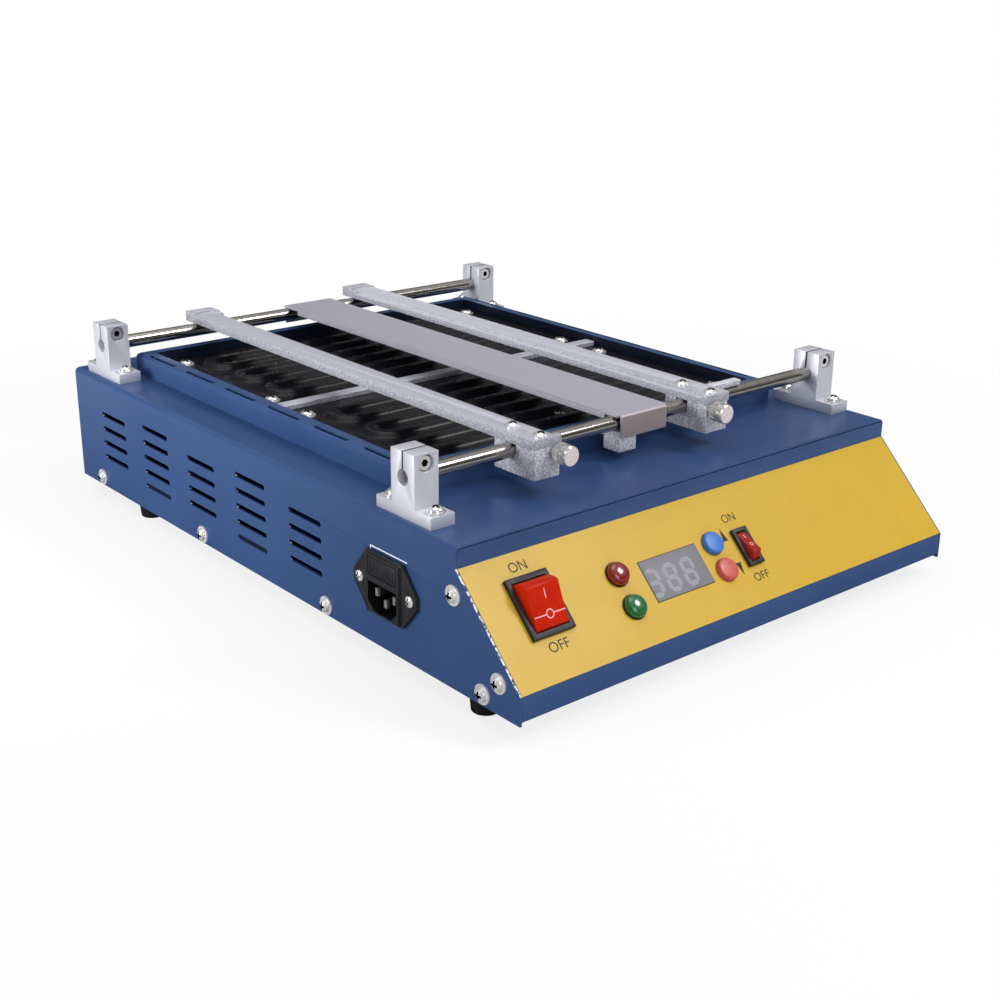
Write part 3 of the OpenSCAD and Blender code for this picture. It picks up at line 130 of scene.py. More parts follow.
def printedSheet(name, look):
    # gold ink on a thin aluminium sheet, under a satin lacquer
    material, tree, shader, place = newMaterial(name, {"Roughness": 0.32, "Specular IOR Level": 0.18})
    grain = addNode(tree, "TexNoise", {"Scale": perMetre(look["grain"]), "Detail": 4, "Roughness": 0.7},
                    {"Vector": place})
    cloud = addNode(tree, "TexNoise", {"Scale": perMetre(look["cloud"]), "Detail": 1}, {"Vector": place})
    both = addNode(tree, "Mix", {0: look["mottle"]}, {2: grain.outputs[0], 3: cloud.outputs[0]})
    spread = addNode(tree, "MapRange", {"From Min": 0.3, "From Max": 0.7}, {"Value": both.outputs[0]})
    tint = addNode(tree, "Mix", {"data_type": "RGBA", 6: linear(look["dark"]), 7: linear(look["light"])},
                   {0: spread.outputs[0]})
    tree.links.new(tint.outputs[2], shader.inputs["Base Color"])
    bump = addNode(tree, "Bump", {"Strength": 0.08, "Distance": 0.05 * mm}, {"Height": grain.outputs[0]})
    tree.links.new(bump.outputs[0], shader.inputs["Normal"])
    return material


def plainMetal(name, look):
    # machined or rolled metal: fine lines along one axis carry the roughness
    material, tree, shader, place = newMaterial(name, {"Metallic": look.get("metal", 1)})
    lines = addNode(tree, "Mapping", {"Scale": [perMetre(s) for s in look["lines"]]}, {"Vector": place})
    streak = addNode(tree, "TexNoise", {"Scale": 1, "Detail": 4, "Roughness": 0.65},
                     {"Vector": lines.outputs[0]})
    rough = addNode(tree, "MapRange", {"From Min": 0.25, "From Max": 0.75,
                    "To Min": look["rough"][0], "To Max": look["rough"][1]}, {"Value": streak.outputs[0]})
    tree.links.new(rough.outputs[0], shader.inputs["Roughness"])
    tint = addNode(tree, "Mix", {"data_type": "RGBA", 6: linear(look["dark"]), 7: linear(look["light"])},
                   {0: streak.outputs[0]})
    tree.links.new(tint.outputs[2], shader.inputs["Base Color"])
    bump = addNode(tree, "Bump", {"Strength": look.get("bump", 0.06), "Distance": 0.04 * mm},
                   {"Height": streak.outputs[0]})
    tree.links.new(bump.outputs[0], shader.inputs["Normal"])
    return material


def grainyAlloy(name, look):
    # blasted or sawn aluminium: smooth tops, grainy flanks
    material, tree, shader, place = newMaterial(name, {"Metallic": look["metal"]})
    facing = addNode(tree, "NewGeometry")
    upward = addNode(tree, "SeparateXYZ", None, {0: facing.outputs["Normal"]})
    flank = addNode(tree, "MapRange", {"From Min": 0.9, "From Max": 0.6}, {"Value": upward.outputs[2]})
    grit = addNode(tree, "TexVoronoi", {"Scale": perMetre(look["grit"])}, {"Vector": place})
    fine = addNode(tree, "TexNoise", {"Scale": perMetre(look["fine"]), "Detail": 5, "Roughness": 0.7},
                   {"Vector": place})
    pits = addNode(tree, "Math", {"operation": "MULTIPLY"},
                   {0: grit.outputs["Distance"], 1: fine.outputs[0]})
    shown = addNode(tree, "Math", {"operation": "MULTIPLY"}, {0: pits.outputs[0], 1: flank.outputs[0]})
    spread = addNode(tree, "MapRange", {"From Min": 0.04, "From Max": 0.34}, {"Value": shown.outputs[0]})
    tint = addNode(tree, "Mix", {"data_type": "RGBA", 6: linear(look["light"]), 7: linear(look["dark"])},
                   {0: spread.outputs[0]})
    tree.links.new(tint.outputs[2], shader.inputs["Base Color"])
    rough = addNode(tree, "MapRange", {"To Min": look["rough"][0], "To Max": look["rough"][1]},
                    {"Value": flank.outputs[0]})
    tree.links.new(rough.outputs[0], shader.inputs["Roughness"])
    relief = addNode(tree, "Math", {"operation": "MULTIPLY"}, {0: fine.outputs[0], 1: flank.outputs[0]})
    bump = addNode(tree, "Bump", {"Strength": 0.5, "Distance": 0.25 * mm}, {"Height": relief.outputs[0]})
    tree.links.new(bump.outputs[0], shader.inputs["Normal"])
    return material


def blackEnamel(name, look):
    # vitreous enamel on pressed steel: near black, with long soft reflections
    finish = {"Base Color": linear(look["colour"]), "Specular IOR Level": 0.22}
    material, tree, shader, place = newMaterial(name, finish)
    dust = addNode(tree, "TexNoise", {"Scale": perMetre(look["dust"]), "Detail": 4}, {"Vector": place})
    rough = addNode(tree, "MapRange", {"From Min": 0.3, "From Max": 0.7, "To Min": look["rough"][0],
                    "To Max": look["rough"][1]}, {"Value": dust.outputs[0]})
    tree.links.new(rough.outputs[0], shader.inputs["Roughness"])
    bump = addNode(tree, "Bump", {"Strength": 0.1, "Distance": 0.1 * mm}, {"Height": dust.outputs[0]})
    tree.links.new(bump.outputs[0], shader.inputs["Normal"])
    return material


def mouldedPlastic(name, look):
    # injection moulded plastic: the tool's spark-eroded grain breaks the gloss
    finish = {"Transmission Weight": look.get("clear", 0), "IOR": look.get("ior", 1.53),
              "Specular IOR Level": look.get("gloss", 0.5), "Coat Weight": look.get("coat", 0),
              "Coat Roughness": 0.25}
    material, tree, shader, place = newMaterial(name, finish)
    grain = addNode(tree, "TexNoise", {"Scale": perMetre(look["grain"]), "Detail": 3}, {"Vector": place})
    tint = addNode(tree, "Mix", {"data_type": "RGBA", 6: linear(look["dark"]), 7: linear(look["light"])},
                   {0: grain.outputs[0]})
    tree.links.new(tint.outputs[2], shader.inputs["Base Color"])
    rough = addNode(tree, "MapRange", {"From Min": 0.3, "From Max": 0.7, "To Min": look["rough"][0],
                    "To Max": look["rough"][1]}, {"Value": grain.outputs[0]})
    tree.links.new(rough.outputs[0], shader.inputs["Roughness"])
    bump = addNode(tree, "Bump", {"Strength": look.get("bump", 0.06), "Distance": 0.04 * mm},
                   {"Height": grain.outputs[0]})
    tree.links.new(bump.outputs[0], shader.inputs["Normal"])
    return material


# sheet metal of the case: every length is in millimetres
blueCoat = powderCoat("blue_powder_coat", {"dark": "#2f4772", "light": "#37517e", "cloud": 60, "peel": 0.9,
                                           "rough": 0.28})
# a near-black copy of the blue coat, for painted shade on walls that lie in shade
paintedShadeCoat = powderCoat("painted_shade_coat", {"dark": "#0c1422", "light": "#131d31", "cloud": 60, "peel": 0.9,
                                             "rough": 0.4})
bareEdge = chippedEdge("chipped_sheet_edge", {"coat": "#2c4477", "steel": "#e4e6ea", "chip": 2.2})
goldSheet = printedSheet("gold_printed_sheet", {"dark": "#bb9629", "light": "#d3ad3e", "grain": 0.55,
                                                "cloud": 30, "mottle": 0.15})
# aluminium: etched and anodised, blasted, or left as sawn
satinAlloy = plainMetal("anodised_aluminium", {"dark": "#c6c7d0", "light": "#d8d9e1", "lines": (0.5, 0.5, 6),
                                               "rough": (0.4, 0.55), "metal": 0.5})
blastedAlloy = grainyAlloy("blasted_aluminium", {"light": "#cbccd6", "dark": "#989aa3", "grit": 1.0,
                                                 "fine": 0.7, "rough": (0.36, 0.6), "metal": 0.3})
roughAlloy = grainyAlloy("sawn_aluminium", {"light": "#e4e5ec", "dark": "#aaa9b2", "grit": 1.3,
                                            "fine": 0.9, "rough": (0.4, 0.6), "metal": 0.25})
# steel: a rod with long clear highlights, and sheet brushed along its length
groundSteel = plainMetal("ground_steel_rod", {"dark": "#98938e", "light": "#bcb7b1", "lines": (7, 20, 20),
                                              "rough": (0.13, 0.17), "bump": 0.003})
brushedSteel = plainMetal("brushed_stainless", {"dark": "#b0aeb8", "light": "#c4c1cc",
                                                "lines": (0.4, 60, 2),  # coarser than real, so that it shows
                                                "rough": (0.28, 0.42), "bump": 0.1, "metal": 0.3})
# a warmer copy of the brushed stainless: painted reflection of the gold sheet on the front fold
goldReflectionSteel = plainMetal("stainless_painted_reflection", {"dark": "#8d8182", "light": "#a59a99", "lines": (0.4, 2, 60),
                                              "rough": (0.28, 0.42), "bump": 0.1, "metal": 0.45})
# plated pieces: bright ones mirror the lamps, dull ones stay pale
nickelSteel = plainMetal("nickel_plated_steel", {"dark": "#cbc8c4", "light": "#e2dfdb", "lines": (3, 3, 3),
                                                 "rough": (0.14, 0.26), "metal": 0.8})
brightZinc = plainMetal("bright_zinc_screws", {"dark": "#e0dedd", "light": "#f4f2f1", "lines": (3, 3, 3),
                                               "rough": (0.12, 0.2), "metal": 0.72})
paleZinc = plainMetal("dull_zinc_screws", {"dark": "#e2e0df", "light": "#f2f0ef", "lines": (3, 3, 3),
                                           "rough": (0.16, 0.26), "metal": 0.42})
roseNickel = plainMetal("turned_nickel_face", {"dark": "#ddced2", "light": "#eee2e6", "lines": (4, 0.3, 4),
                                               "rough": (0.22, 0.34), "metal": 0.35})
zincSteel = plainMetal("zinc_plated_steel", {"dark": "#84868a", "light": "#a2a4a8", "lines": (9, 9, 9),
                                             "rough": (0.35, 0.55)})
enamelBlack = blackEnamel("black_enamel", {"colour": "#151318", "dust": 6, "rough": (0.24, 0.31)})
# plastics: matt cases, glossy rockers, clear lenses, satin buttons
blackAbs = mouldedPlastic("black_abs", {"dark": "#1d1c20", "light": "#29282d", "grain": 0.5,
                                        "rough": (0.38, 0.55), "gloss": 0.3})
redPlastic = mouldedPlastic("red_polycarbonate", {"dark": "#b51c07", "light": "#c8280b", "grain": 8,
                                                  "rough": (0.2, 0.3), "clear": 0.05, "gloss": 0.09})
darkRed = mouldedPlastic("dark_red_polycarbonate", {"dark": "#921f1b", "light": "#a82923", "grain": 8,
                                                    "rough": (0.22, 0.32), "clear": 0.05, "gloss": 0.2})
redLens = mouldedPlastic("red_lamp_lens", {"dark": "#7d1216", "light": "#9c1a1e", "grain": 6,
                                           "rough": (0.08, 0.12), "clear": 0.2, "coat": 0.6, "ior": 1.58})
greenLens = mouldedPlastic("green_lamp_lens", {"dark": "#045a2c", "light": "#0a7c3e", "grain": 6,
                                               "rough": (0.08, 0.12), "clear": 0.2, "coat": 0.6, "ior": 1.58})
greyWindow = mouldedPlastic("grey_display_window", {"dark": "#77777d", "light": "#838389", "grain": 12,
                                                    "rough": (0.34, 0.44), "gloss": 0.12})
paleDigit = mouldedPlastic("pale_digit_epoxy", {"dark": "#8c8c94", "light": "#98989f", "grain": 2,
                                                "rough": (0.4, 0.5), "gloss": 0.2})
blueCap = mouldedPlastic("blue_button_plastic", {"dark": "#2d67b4", "light": "#3b78c6", "grain": 1.6,
                                                 "rough": (0.3, 0.42), "bump": 0.3, "gloss": 0.35})
coralCap = mouldedPlastic("coral_button_plastic", {"dark": "#b44b43", "light": "#c55b53", "grain": 1.6,
                                                   "rough": (0.3, 0.42), "bump": 0.3, "gloss": 0.35})
blackRubber = mouldedPlastic("black_rubber", {"dark": "#131316", "light": "#1c1c20", "grain": 0.9,
                                              "rough": (0.6, 0.8), "bump": 0.2, "gloss": 0.2})
# screen-printed inks
blackInk = mouldedPlastic("black_ink", {"dark": "#1c1b19", "light": "#282724", "grain": 1,
                                        "rough": (0.4, 0.5), "gloss": 0.2})
whiteInk = mouldedPlastic("white_ink", {"dark": "#e4e5ea", "light": "#f1f2f6", "grain": 1,
                                        "rough": (0.4, 0.5)})
pinkInk = mouldedPlastic("pale_pink_ink", {"dark": "#dba7a5", "light": "#e6b9b8", "grain": 1,
                                           "rough": (0.3, 0.4)})
# recesses and cuts that little light reaches
darkRecess = plainMetal("shaded_driver_recess", {"dark": "#2b2a29", "light": "#3a3938", "lines": (2, 2, 2),
                                                 "rough": (0.4, 0.6)})
shadedAbs = mouldedPlastic("shaded_black_abs", {"dark": "#060607", "light": "#0a0a0b", "grain": 0.5,
                                                "rough": (0.5, 0.6), "gloss": 0.1})
shadedAlloy = plainMetal("shaded_saw_cut", {"dark": "#1d1d20", "light": "#2b2b2f", "lines": (1, 1, 1),
                                            "rough": (0.6, 0.7), "metal": 0.3})
# pieces inside the case
wool = mouldedPlastic("ceramic_wool", {"dark": "#d9d4c8", "light": "#efebe2", "grain": 1.4,
                                       "rough": (0.85, 0.95), "bump": 0.8})
boardGreen = mouldedPlastic("solder_mask", {"dark": "#17552f", "light": "#216b3c", "grain": 5,
                                            "rough": (0.3, 0.4)})
brassMetal = plainMetal("bright_brass", {"dark": "#b08a3e", "light": "#d0aa58", "lines": (4, 4, 4),
                                         "rough": (0.25, 0.4)})
coreSteel = plainMetal("laminated_core_steel", {"dark": "#4a4c50", "light": "#66686c",
                                                "lines": (20, 0.5, 20), "rough": (0.4, 0.6)})
coilTape = mouldedPlastic("polyester_coil_tape", {"dark": "#b89a45", "light": "#cfb25c", "grain": 3,
                                                  "rough": (0.25, 0.4)})
creamPlastic = mouldedPlastic("cream_nylon", {"dark": "#dcd6c6", "light": "#ece7da", "grain": 2,
                                              "rough": (0.4, 0.5)})
fuseGlass = mouldedPlastic("fuse_glass", {"dark": "#dfe6e8", "light": "#eef2f3", "grain": 20,
                                          "rough": (0.02, 0.05), "clear": 0.9})
print("materials made:", len(bpy.data.materials))


# shapes

def addBox(bm, low, high):
    verts = bmesh.ops.create_cube(bm, size=1)["verts"]
    bmesh.ops.scale(bm, vec=Vector(high) - Vector(low), verts=verts)
    bmesh.ops.translate(bm, vec=(Vector(low) + Vector(high)) / 2, verts=verts)


def breakEdges(bm, width, segments=2, angle=35):  # rounds every edge sharper than that angle
    edges = [e for e in bm.edges if len(e.link_faces) == 2 and e.calc_face_angle() > math.radians(angle)]
    bmesh.ops.bevel(bm, geom=edges, offset=width * mm, offset_type="OFFSET", segments=segments, profile=0.5,
                    affect="EDGES", material=-1, clamp_overlap=True)


def onlyVerts(geom):
    return [part for part in geom if isinstance(part, bmesh.types.BMVert)]


def moveAll(bm, matrix):
    bmesh.ops.transform(bm, matrix=matrix, verts=bm.verts)


def turned(profile, segments):  # (radius, height) pairs in mm, turned about Z
    bm = bmesh.new()
    verts = [bm.verts.new((radius * mm, 0, height * mm)) for radius, height in profile]
    edges = [bm.edges.new(pair) for pair in zip(verts, verts[1:])]
    bmesh.ops.spin(bm, geom=verts + edges, cent=(0, 0, 0), axis=(0, 0, 1), angle=2 * math.pi,
                   steps=segments, use_merge=True)
    bmesh.ops.remove_doubles(bm, verts=bm.verts, dist=1e-7)
    bmesh.ops.recalc_face_normals(bm, faces=bm.faces)
    return bm


def prism(points, height):  # flat outline in mm, raised along Z
    bm = bmesh.new()
    face = bm.faces.new([bm.verts.new((x * mm, y * mm, 0)) for x, y in points])
    raised = bmesh.ops.extrude_face_region(bm, geom=[face])["geom"]
    bmesh.ops.translate(bm, vec=(0, 0, height * mm), verts=onlyVerts(raised))
    bmesh.ops.recalc_face_normals(bm, faces=bm.faces)
    return bm


def addCopies(target, source, spots):  # copies of one shape, each moved by a matrix
    for spot in spots:
        copy = bpy.data.meshes.new("copy")
        source.to_mesh(copy)
        copy.transform(spot)
        target.from_mesh(copy)
        bpy.data.meshes.remove(copy)
    source.free()


def cadCopy(node):  # a CAD node's own mesh, merged into whole faces
    bm = bmesh.new()
    bm.from_mesh(nodes[node].data)
    bmesh.ops.remove_doubles(bm, verts=bm.verts, dist=1e-6)
    bmesh.ops.dissolve_limit(bm, angle_limit=math.radians(1), verts=bm.verts, edges=bm.edges)
    return bm


def finishPiece(name, bm, materials, body, replaced=(), slot=None, sharp=32):
    mesh = bpy.data.meshes.new(name)
    bm.to_mesh(mesh)
    bm.free()
    for material in materials:
        mesh.materials.append(material)
    mesh.shade_smooth()
    mesh.set_sharp_from_angle(angle=math.radians(sharp))
    piece = bpy.data.objects.new(name, mesh)
    scene.collection.objects.link(piece)
    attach(piece, body)
    if replaced:
        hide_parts(*replaced)


bodies = frame["record"]["behaviour"]["bodies"]
bodyOf = {node: body for body, members in bodies.items() for node in members}
slotOf = {part["node"]: part["material_slot"] for part in frame["record"]["subparts"]}


# a CAD node with rounded edges; tune gives some of its faces another material
def dressed(node, material, width, segments=2, angle=35, tune=None):
    bm = cadCopy(node)
    if width:
        breakEdges(bm, width, segments, angle)
    materials = [material]
    if tune:
        materials += tune(bm)
    finishPiece(node + "_finished", bm, materials, bodyOf[node], [node], slotOf[node])


# the sloped panel: X across, up along the slope, out of the panel

pressAxis = Vector(joints["up_press"]["axis"])
slopeOrigin = Vector(joints["power_rocker_tilt"]["pos_m"])
slopeOut = -pressAxis.normalized()
slopeUp = slopeOut.cross(Vector((1, 0, 0))).normalized()
slopeTurn = Matrix((Vector((1, 0, 0)), slopeUp, slopeOut)).transposed().to_4x4()


def onSlope(x, up, out=0):  # a place on the panel, in metres
    spot = Vector((x - slopeOrigin.x, 0, 0)) + slopeUp * up + slopeOut * out + slopeOrigin
    return Matrix.Translation(spot) @ slopeTurn


def slopePlace(node):  # where a control's axis meets the panel
    low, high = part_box(node)
    middle = (low + high) / 2
    return middle.x, (middle - slopeOrigin).dot(slopeUp)


def rockerPlace(kind):  # where a rocker's pivot meets the panel
    pivot = Vector(joints[kind + "_rocker_tilt"]["pos_m"])
    return pivot.x, (pivot - slopeOrigin).dot(slopeUp)


# case: sheets with broken edges
# square and upright say how squarely a face looks out, and how little it looks up
sheets = {"edge": 0.18, "segments": 1, "angle": 40, "square": 0.98, "upright": 0.3}
sheetEdge = (sheets["edge"], sheets["segments"], sheets["angle"])


def bareSlopeEdge(bm):  # the cut edges beside the fascia lose their coat
    for face in bm.faces:
        if face.normal.dot(slopeOut) > sheets["square"] and face.calc_center_median().x < 0:
            face.material_index = 1
    return [bareEdge]


dressed("top_cover", blueCoat, *sheetEdge, bareSlopeEdge)
dressed("front_panel", blueCoat, *sheetEdge)


def darkenPan(bm):  # the pan's side walls lie in the dark behind the vents
    for face in bm.faces:
        if abs(face.normal.x) > sheets["square"]:
            face.material_index = 1
    return [paintedShadeCoat]


dressed("base_pan", blueCoat, *sheetEdge, darkenPan)


def darkenWell(bm):  # painted shade: the walls towards the heaters lie in shade, so they get the dark copy of the coat
    low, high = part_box("well_rim")
    middle = (low + high) / 2
    for face in bm.faces:
        inward = middle - face.calc_center_median()
        inward.z = 0
        if abs(face.normal.z) < sheets["upright"] and face.normal.dot(inward) > 0:
            face.material_index = 1
    return [paintedShadeCoat]


dressed("well_rim", blueCoat, *sheetEdge, darkenWell)
dressed("gold_fascia", goldSheet, 0)
print("case done")


# rods: ground bar with chamfered ends

rods = {"chamfer": 0.6, "segments": 64}


def groundRod(node):
    low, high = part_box(node)
    middle = (low + high) / 2
    radius, half = (high.z - low.z) / 2 / mm, (high.x - low.x) / 2 / mm
    edge = rods["chamfer"]
    bm = turned([(0, -half), (radius - edge, -half), (radius, -half + edge),
                 (radius, half - edge), (radius - edge, half), (0, half)], rods["segments"])
    moveAll(bm, Matrix.Translation(middle) @ Matrix.Rotation(math.pi / 2, 4, "Y"))
    finishPiece(node + "_ground", bm, [groundSteel], "case", [node], slotOf[node])


for node in ("front_rod", "rear_rod"):
    groundRod(node)


# supports, bars, blocks and channel
# edge widths, then the saw cut's reach and how squarely its walls and the front fold look along Y
clamps = {"support": 0.45, "bar": 0.35, "block": 0.3, "channel": 0.12, "slit": 1.5, "wall": 0.9,
          "fold": 0.7}


def shadeSlit(rod):  # the saw cut above the bore lies in shade
    def tune(bm):
        low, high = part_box(rod)
        middle = (low.y + high.y) / 2
        for face in bm.faces:
            near = abs(face.calc_center_median().y - middle) < clamps["slit"] * mm
            if near and abs(face.normal.y) > clamps["wall"]:
                face.material_index = 1
        return [shadedAlloy]
    return tune


for end in ("front", "rear"):
    for side in ("left", "right"):
        support = end + "_" + side + "_support"
        dressed(support, satinAlloy, clamps["support"], tune=shadeSlit(end + "_rod"))
for side in ("left", "right"):
    dressed(side + "_clamp_bar", blastedAlloy, clamps["bar"])
    dressed(side + "_guide_block", roughAlloy, clamps["block"])
dressed("right_steady_arm", roughAlloy, clamps["block"])


def tintFold(bm):  # painted reflection: the fold at the front gets a warmer copy of the steel, as if it mirrored the gold sheet below it
    for face in bm.faces:
        if face.normal.y < -clamps["fold"]:
            face.material_index = 1
    return [goldReflectionSteel]


dressed("centre_channel", brushedSteel, clamps["channel"], segments=1, tune=tintFold)
dressed("centre_hook_block", roughAlloy, clamps["block"])
dressed("heater_divider", blastedAlloy, clamps["block"], segments=1)
print("rods and clamps done")


# screws keep their CAD shape, and the driver recess in each head lies in shade

recess = {"reach": 0.42, "steep": 0.5, "deep": 0.9}  # share of the head, slope of a wall, depth in mm


def islands(bm):  # the faces of each separate screw or washer
    left = set(bm.faces)
    while left:
        group, edge = set(), {left.pop()}
        while edge:
            face = edge.pop()
            group.add(face)
            near = {other for side in face.edges for other in side.link_faces if other in left}
            left -= near
            edge |= near
        yield group


def shadeRecess(headWidth, axis=None):
    def tune(bm):
        for group in islands(bm):
            points = [vert.co for face in group for vert in face.verts]
            low, high = (Vector([pick(p[i] for p in points) for i in range(3)]) for pick in (min, max))
            middle = (low + high) / 2
            out = Vector(axis) if axis else Vector((1 if middle.x > 0 else -1, 0, 0))
            top = max(p.dot(out) for p in points)
            for face in group:
                reach = max((vert.co - middle).cross(out).length for vert in face.verts)  # from its axis
                sunk = top - face.calc_center_median().dot(out) > recess["deep"] * mm
                steep = face.normal.dot(out) < recess["steep"]
                if reach < recess["reach"] * headWidth * mm and (sunk or steep):
                    face.material_index = 1
        return [darkRecess]
    return tune


driven = {  # node: head width in mm, the way its head faces (None: out of its own side wall), finish
    "heater_screws": (8, (0, 0, 1), brightZinc), "support_screws": (7.5, (0, 0, 1), brightZinc),
    "support_clamp_screws": (7, (0, -1, 0), brightZinc), "left_bar_screws": (7.6, (0, 0, 1), brightZinc),
    "right_bar_screws": (7.6, (0, 0, 1), brightZinc), "inlet_screws": (5.5, (-1, 0, 0), paleZinc),
    "case_screws": (6.6, None, paleZinc)}
for node, (headWidth, axis, finish) in driven.items():
    dressed(node, finish, 0, tune=shadeRecess(headWidth, axis))
for node in ("support_nuts", "foot_screws", "heater_standoffs"):
    dressed(node, nickelSteel, 0)


# thumb screws: a knurled collar behind a smooth turned head

thumb = {"head": 9, "neck": 2.5, "neckRadius": 3.2, "knurl": 4.2, "knurlDepth": 0.35, "teeth": 30,
         "groove": 0.7, "edge": 0.6, "shank": 2.0, "tip": 0.4, "slack": 0.1, "sharp": 25}


def thumbScrew(node, body):
    low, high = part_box(node)
    radius = (high.z - low.z) / 2 / mm
    length = (high.y - low.y) / mm
    headStart = length - thumb["head"]
    neckStart = headStart - thumb["neck"]
    knurlEnd = headStart + thumb["knurl"]
    grooveEnd = knurlEnd + thumb["groove"]
    shank, neck, edge, tip = thumb["shank"], thumb["neckRadius"], thumb["edge"], thumb["tip"]
    bm = turned([(0, 0), (shank - tip, 0), (shank, tip), (shank, neckStart), (neck, neckStart),
                 (neck, headStart), (radius - edge, headStart), (radius, headStart + edge),
                 (radius, knurlEnd), (radius - edge, knurlEnd), (radius - edge, grooveEnd),
                 (radius, grooveEnd), (radius, length - edge), (radius - edge, length), (0, length)],
                2 * thumb["teeth"])
    for vert in bm.verts:  # every second point of the collar is cut in
        step = round(math.atan2(vert.co.y, vert.co.x) / (math.pi / thumb["teeth"]))
        onCollar = headStart * mm < vert.co.z < (knurlEnd + thumb["slack"]) * mm
        if step % 2 and onCollar and vert.co.xy.length > (radius - thumb["slack"]) * mm:
            vert.co.xy *= 1 - thumb["knurlDepth"] / radius
    for face in bm.faces:
        if face.calc_center_median().z > (length - thumb["slack"]) * mm:
            face.material_index = 1
    rear = Vector(((low.x + high.x) / 2, high.y, (low.z + high.z) / 2))
    moveAll(bm, Matrix.Translation(rear) @ Matrix.Rotation(math.pi / 2, 4, "X"))
    finishPiece(node + "_knurled", bm, [nickelSteel, roseNickel], body, [node], slotOf[node], thumb["sharp"])


thumbScrew("left_thumb_screw", "left_thumb")
thumbScrew("right_thumb_screw", "right_thumb")


# heaters: pressed plates with one long ridge that runs to and fro

heaters = {"step": 1.1, "rise": 3.0, "halfWidth": 5.4, "flat": 2.2, "runs": 6, "bare": 11.5,
           "margin": 15.5, "tube": 8, "sheet": 2, "sharp": 50}


def ridgeHeight(x, y, runX, pitch, runs):  # height of the pressed ridge at a point of the plate
    first = -(runs - 1) / 2 * pitch
    index = min(max(round((y - first) / pitch), 0), runs - 1)
    away = math.inf
    for run in (index - 1, index, index + 1):
        if 0 <= run < runs:
            lineY = first + run * pitch
            overX = max(abs(x) - runX, 0)
            away = min(away, math.hypot(overX, y - lineY))
        if 0 <= run < runs - 1:
            side = -1 if run % 2 == 0 else 1
            fromEnd = (x * side - runX, y - first - (run + 0.5) * pitch)
            if fromEnd[0] > 0:
                away = min(away, abs(math.hypot(*fromEnd) - pitch / 2))
    share = min(max((away - heaters["flat"]) / (heaters["halfWidth"] - heaters["flat"]), 0), 1)
    return heaters["rise"] * (0.5 + 0.5 * math.cos(math.pi * share))


def heaterPlate(node):
    low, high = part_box(node)
    middle = (low + high) / 2
    width, depth = (high.x - low.x) / mm, (high.y - low.y) / mm
    topZ = middle.z / mm + heaters["sheet"] / 2
    pitch = (depth - 2 * heaters["bare"]) / heaters["runs"]
    runX = width / 2 - heaters["margin"] - heaters["tube"] / 2 - pitch / 2
    bm = bmesh.new()
    across, along = round(width / heaters["step"]), round(depth / heaters["step"])
    bmesh.ops.create_grid(bm, x_segments=across, y_segments=along, size=0.5)
    for vert in bm.verts:
        x, y = vert.co.x * width, vert.co.y * depth
        vert.co = Vector((x, y, ridgeHeight(x, y, runX, pitch, heaters["runs"]))) * mm
    rim = [edge for edge in bm.edges if edge.is_boundary]
    skirt = bmesh.ops.extrude_edge_only(bm, edges=rim)["geom"]
    bmesh.ops.translate(bm, vec=(0, 0, -heaters["sheet"] * mm), verts=onlyVerts(skirt))
    bmesh.ops.holes_fill(bm, edges=[edge for edge in bm.edges if edge.is_boundary], sides=0)
    bmesh.ops.recalc_face_normals(bm, faces=bm.faces)
    bmesh.ops.translate(bm, vec=(middle.x, middle.y, topZ * mm), verts=bm.verts)
    finishPiece(node + "_pressed", bm, [enamelBlack], "case", [node], slotOf[node], heaters["sharp"])


heaterPlate("rear_heater")
heaterPlate("front_heater")
print("heaters done")


# switches: bezels and rockers

switches = {"powerBezel": 0.5, "heatBezel": 0.35, "powerRocker": 0.7, "heatRocker": 0.6, "rounds": 3}
dressed("power_switch_body", blackAbs, switches["powerBezel"])
dressed("heat_switch_body", blackAbs, switches["heatBezel"])
dressed("power_rocker", redPlastic, switches["powerRocker"], switches["rounds"])
dressed("heat_rocker", darkRed, switches["heatRocker"], switches["rounds"])


# lamps, display and buttons

lamps = {"radius": 6.0, "dome": 4.3, "rim": 0.8, "flat": 0.78, "step": 5, "barrel": 4.8, "deep": 11.6,
         "fascia": 0.4, "segments": 56, "ringEdge": 0.12}


def lampLens(node, material):
    radius, rim, dome, base = lamps["radius"], lamps["rim"], lamps["dome"], lamps["fascia"]
    barrel, deep, flat = lamps["barrel"], lamps["deep"], lamps["flat"]
    angles = [math.radians(degrees) for degrees in range(0, 90, lamps["step"])]
    curve = [(radius * math.cos(a) ** flat, base + rim + dome * math.sin(a) ** flat) for a in angles]
    bm = turned([(0, -deep), (barrel, -deep), (barrel, base), (radius, base)] + curve
                + [(0, base + rim + dome)], lamps["segments"])
    moveAll(bm, onSlope(*slopePlace(node)))
    finishPiece(node + "_lens", bm, [material], "case", [node], slotOf[node])


lampLens("red_lamp", redLens)
lampLens("green_lamp", greenLens)
dressed("lamp_rings", blackAbs, lamps["ringEdge"])

digits = {"count": 3, "pitch": 11.9, "width": 8.8, "height": 15.2, "bar": 2.5, "gap": 0.05, "lean": 0.1,
          "thick": 0.06, "across": -4.3, "down": 1.4, "module": 12.9, "frameEdge": 0.3}


